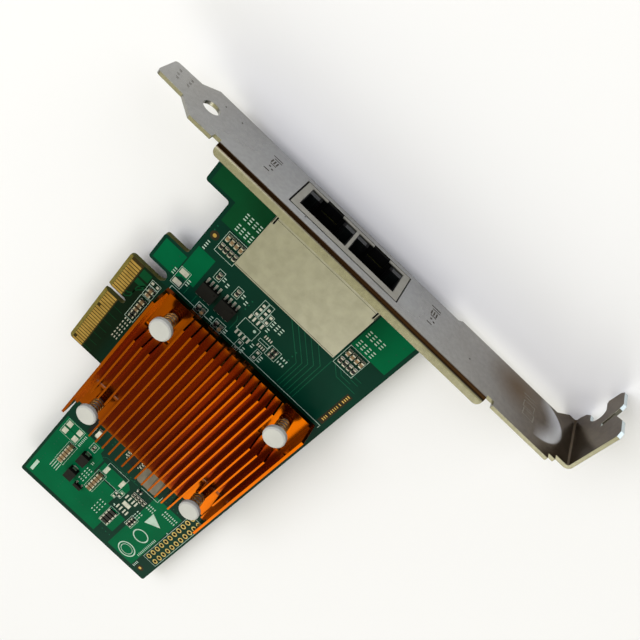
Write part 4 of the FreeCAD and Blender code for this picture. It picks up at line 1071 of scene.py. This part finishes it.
def fade_far(tree, shader):
    """Far from the card the floor shows one pale tone, to the camera, reflections and clear things."""
    seen = tree.nodes.new("ShaderNodeLightPath").outputs
    rays = combined(tree, "ADD", seen["Is Camera Ray"], seen["Is Glossy Ray"])
    rays = combined(tree, "MINIMUM", combined(tree, "ADD", rays, seen["Is Transmission Ray"]), 1.0)
    place = tree.nodes.new("ShaderNodeNewGeometry").outputs["Position"]
    away = tree.nodes.new("ShaderNodeVectorMath")
    away.operation = "LENGTH"
    tree.links.new(place, away.inputs[0])
    far = spread(tree, away.outputs["Value"], 0.0, 1.0, FADE_STARTS, FADE_ENDS)
    glow = tree.nodes.new("ShaderNodeEmission")
    glow.inputs["Color"].default_value = PALE_TONE
    blend = tree.nodes.new("ShaderNodeMixShader")
    out = [node for node in tree.nodes if node.type == "OUTPUT_MATERIAL"][0]
    tree.links.new(combined(tree, "MULTIPLY", far, rays), blend.inputs["Fac"])
    tree.links.new(shader.outputs["BSDF"], blend.inputs[1])
    tree.links.new(glow.outputs["Emission"], blend.inputs[2])
    tree.links.new(blend.outputs["Shader"], out.inputs["Surface"])


def floor_material():
    """Matt pale paper."""
    made, tree, shader, place = start_material("floor_paper")
    wander = noise(tree, place, 3.0)
    tint = between(tree, wander, (236, 236, 242), (239, 239, 245))
    tree.links.new(tint, shader.inputs["Base Color"])
    shader.inputs["Roughness"].default_value = 0.9
    shader.inputs["Specular IOR Level"].default_value = 0.1
    fade_far(tree, shader)
    return made


def make_floor():
    """A pale floor under the card."""
    level = cad_low.z - FLOOR_GAP * MM
    mesh = bpy.data.meshes.new("floor")
    sides = ((-1, -1), (1, -1), (1, 1), (-1, 1))
    corners = [(FLOOR_REACH * x, FLOOR_REACH * y, level) for x, y in sides]
    mesh.from_pydata(corners, [], [(0, 1, 2, 3)])
    mesh.materials.append(floor_material())
    thing = bpy.data.objects.new("floor", mesh)
    bpy.context.scene.collection.objects.link(thing)


# Each light: its name and place, its width and height, its power and its colour.
LIGHT_AIM = (0.0, 0.04, 0.0)
LIGHTS = (
    ("key", (-0.2, -0.5, 0.9), 0.9, 0.9, 6.7, (1.0, 1.0, 1.0)),
    ("fill", (-0.9, 0.5, 0.5), 0.8, 0.8, 3.4, (0.98, 0.99, 1.0)),
    ("back", (0.7, 0.5, 0.7), 0.8, 0.6, 3.2, (1.0, 1.0, 1.0)),
)


def make_light(name, place, wide, tall, power, colour):
    """One soft rectangular light."""
    data = bpy.data.lights.new(name, "AREA")
    data.shape = "RECTANGLE"
    data.size = wide
    data.size_y = tall
    data.energy = power
    data.color = colour
    made = bpy.data.objects.new(name, data)
    made.location = place
    made.rotation_mode = "QUATERNION"
    made.rotation_quaternion = (Vector(LIGHT_AIM) - Vector(place)).to_track_quat("-Z", "Y")
    bpy.context.scene.collection.objects.link(made)


def make_lights():
    """Soft lights round the card."""
    for light in LIGHTS:
        make_light(*light)


# Which way the warm and the dim part of the studio lie.
WARM_SIDE = (0.61, 0.04, 0.79)
DIM_SIDE = (-0.75, 0.04, 0.66)
OVERHEAD_TONE = (0.36, 0.36, 0.36, 1.0)
WARM_TONE = (0.86, 0.83, 0.54, 1.0)
DIM_TONE = (0.06, 0.055, 0.05, 1.0)


def make_world():
    """A plain studio: pale low down, warm overhead past the card, dim behind the camera."""
    world = bpy.data.worlds.new("studio")
    world.use_nodes = True
    bpy.context.scene.world = world
    tree = world.node_tree
    tree.nodes.clear()
    out = tree.nodes.new("ShaderNodeOutputWorld")
    back = tree.nodes.new("ShaderNodeBackground")
    tree.links.new(back.outputs["Background"], out.inputs["Surface"])
    way = tree.nodes.new("ShaderNodeTexCoord").outputs["Generated"]

    def towards(aim, start, end):
        """A factor that rises from 0 to 1 as the way nears the aim."""
        made = tree.nodes.new("ShaderNodeVectorMath")
        made.operation = "DOT_PRODUCT"
        made.inputs[1].default_value = Vector(aim).normalized()
        tree.links.new(way, made.inputs[0])
        return spread(tree, made.outputs["Value"], 0.0, 1.0, start, end)

    height = spread(tree, parted(tree, way)[2], 0.0, 1.0, 0.05, 0.35)
    colour = mixed(tree, height, PALE_TONE, OVERHEAD_TONE)
    colour = mixed(tree, towards(WARM_SIDE, 0.6, 0.88), colour, WARM_TONE)
    colour = mixed(tree, towards(DIM_SIDE, 0.8, 0.93), colour, DIM_TONE)
    tree.links.new(colour, back.inputs["Color"])
    back.inputs["Strength"].default_value = 1.0


# The camera's place, which ways its picture's right side and lower side lie, and its lens.
CAMERA_PLACE = (-0.1455, 0.0295, 0.1719)
CAMERA_RIGHT = (-0.56253739, 0.7261784, -0.39524247)
CAMERA_DOWN = (0.55726615, 0.68617475, 0.46756673)
SENSOR_WIDTH = 36.0
LENS = 48.75
SHIFT_X = 0.1194
SHIFT_Y = 0.0639


def make_camera():
    """The main viewpoint: its place, its turn and the length of its lens."""
    right = Vector(CAMERA_RIGHT).normalized()
    down = Vector(CAMERA_DOWN)
    down = (down - right * down.dot(right)).normalized()
    ahead = right.cross(down)
    data = bpy.data.cameras.new("camera")
    data.sensor_fit = "HORIZONTAL"
    data.sensor_width = SENSOR_WIDTH
    data.lens = LENS
    data.shift_x = SHIFT_X
    data.shift_y = SHIFT_Y
    data.clip_start = 0.01
    data.clip_end = 20.0
    made = bpy.data.objects.new("camera", data)
    up = -down
    back = -ahead
    spin = Matrix((
        (right.x, up.x, back.x),
        (right.y, up.y, back.y),
        (right.z, up.z, back.z),
    ))
    made.matrix_world = Matrix.Translation(Vector(CAMERA_PLACE)) @ spin.to_4x4()
    bpy.context.scene.collection.objects.link(made)
    bpy.context.scene.camera = made


dress_nodes()
make_fills()
make_traces()
make_bare_patches()
make_vias()
make_pads()
make_ink()
make_jack_details()
make_face_marks()
make_chip_marks()
make_solder_fillets()
make_floor()
make_lights()
make_world()
make_camera()
bpy.context.scene.view_settings.view_transform = "Standard"
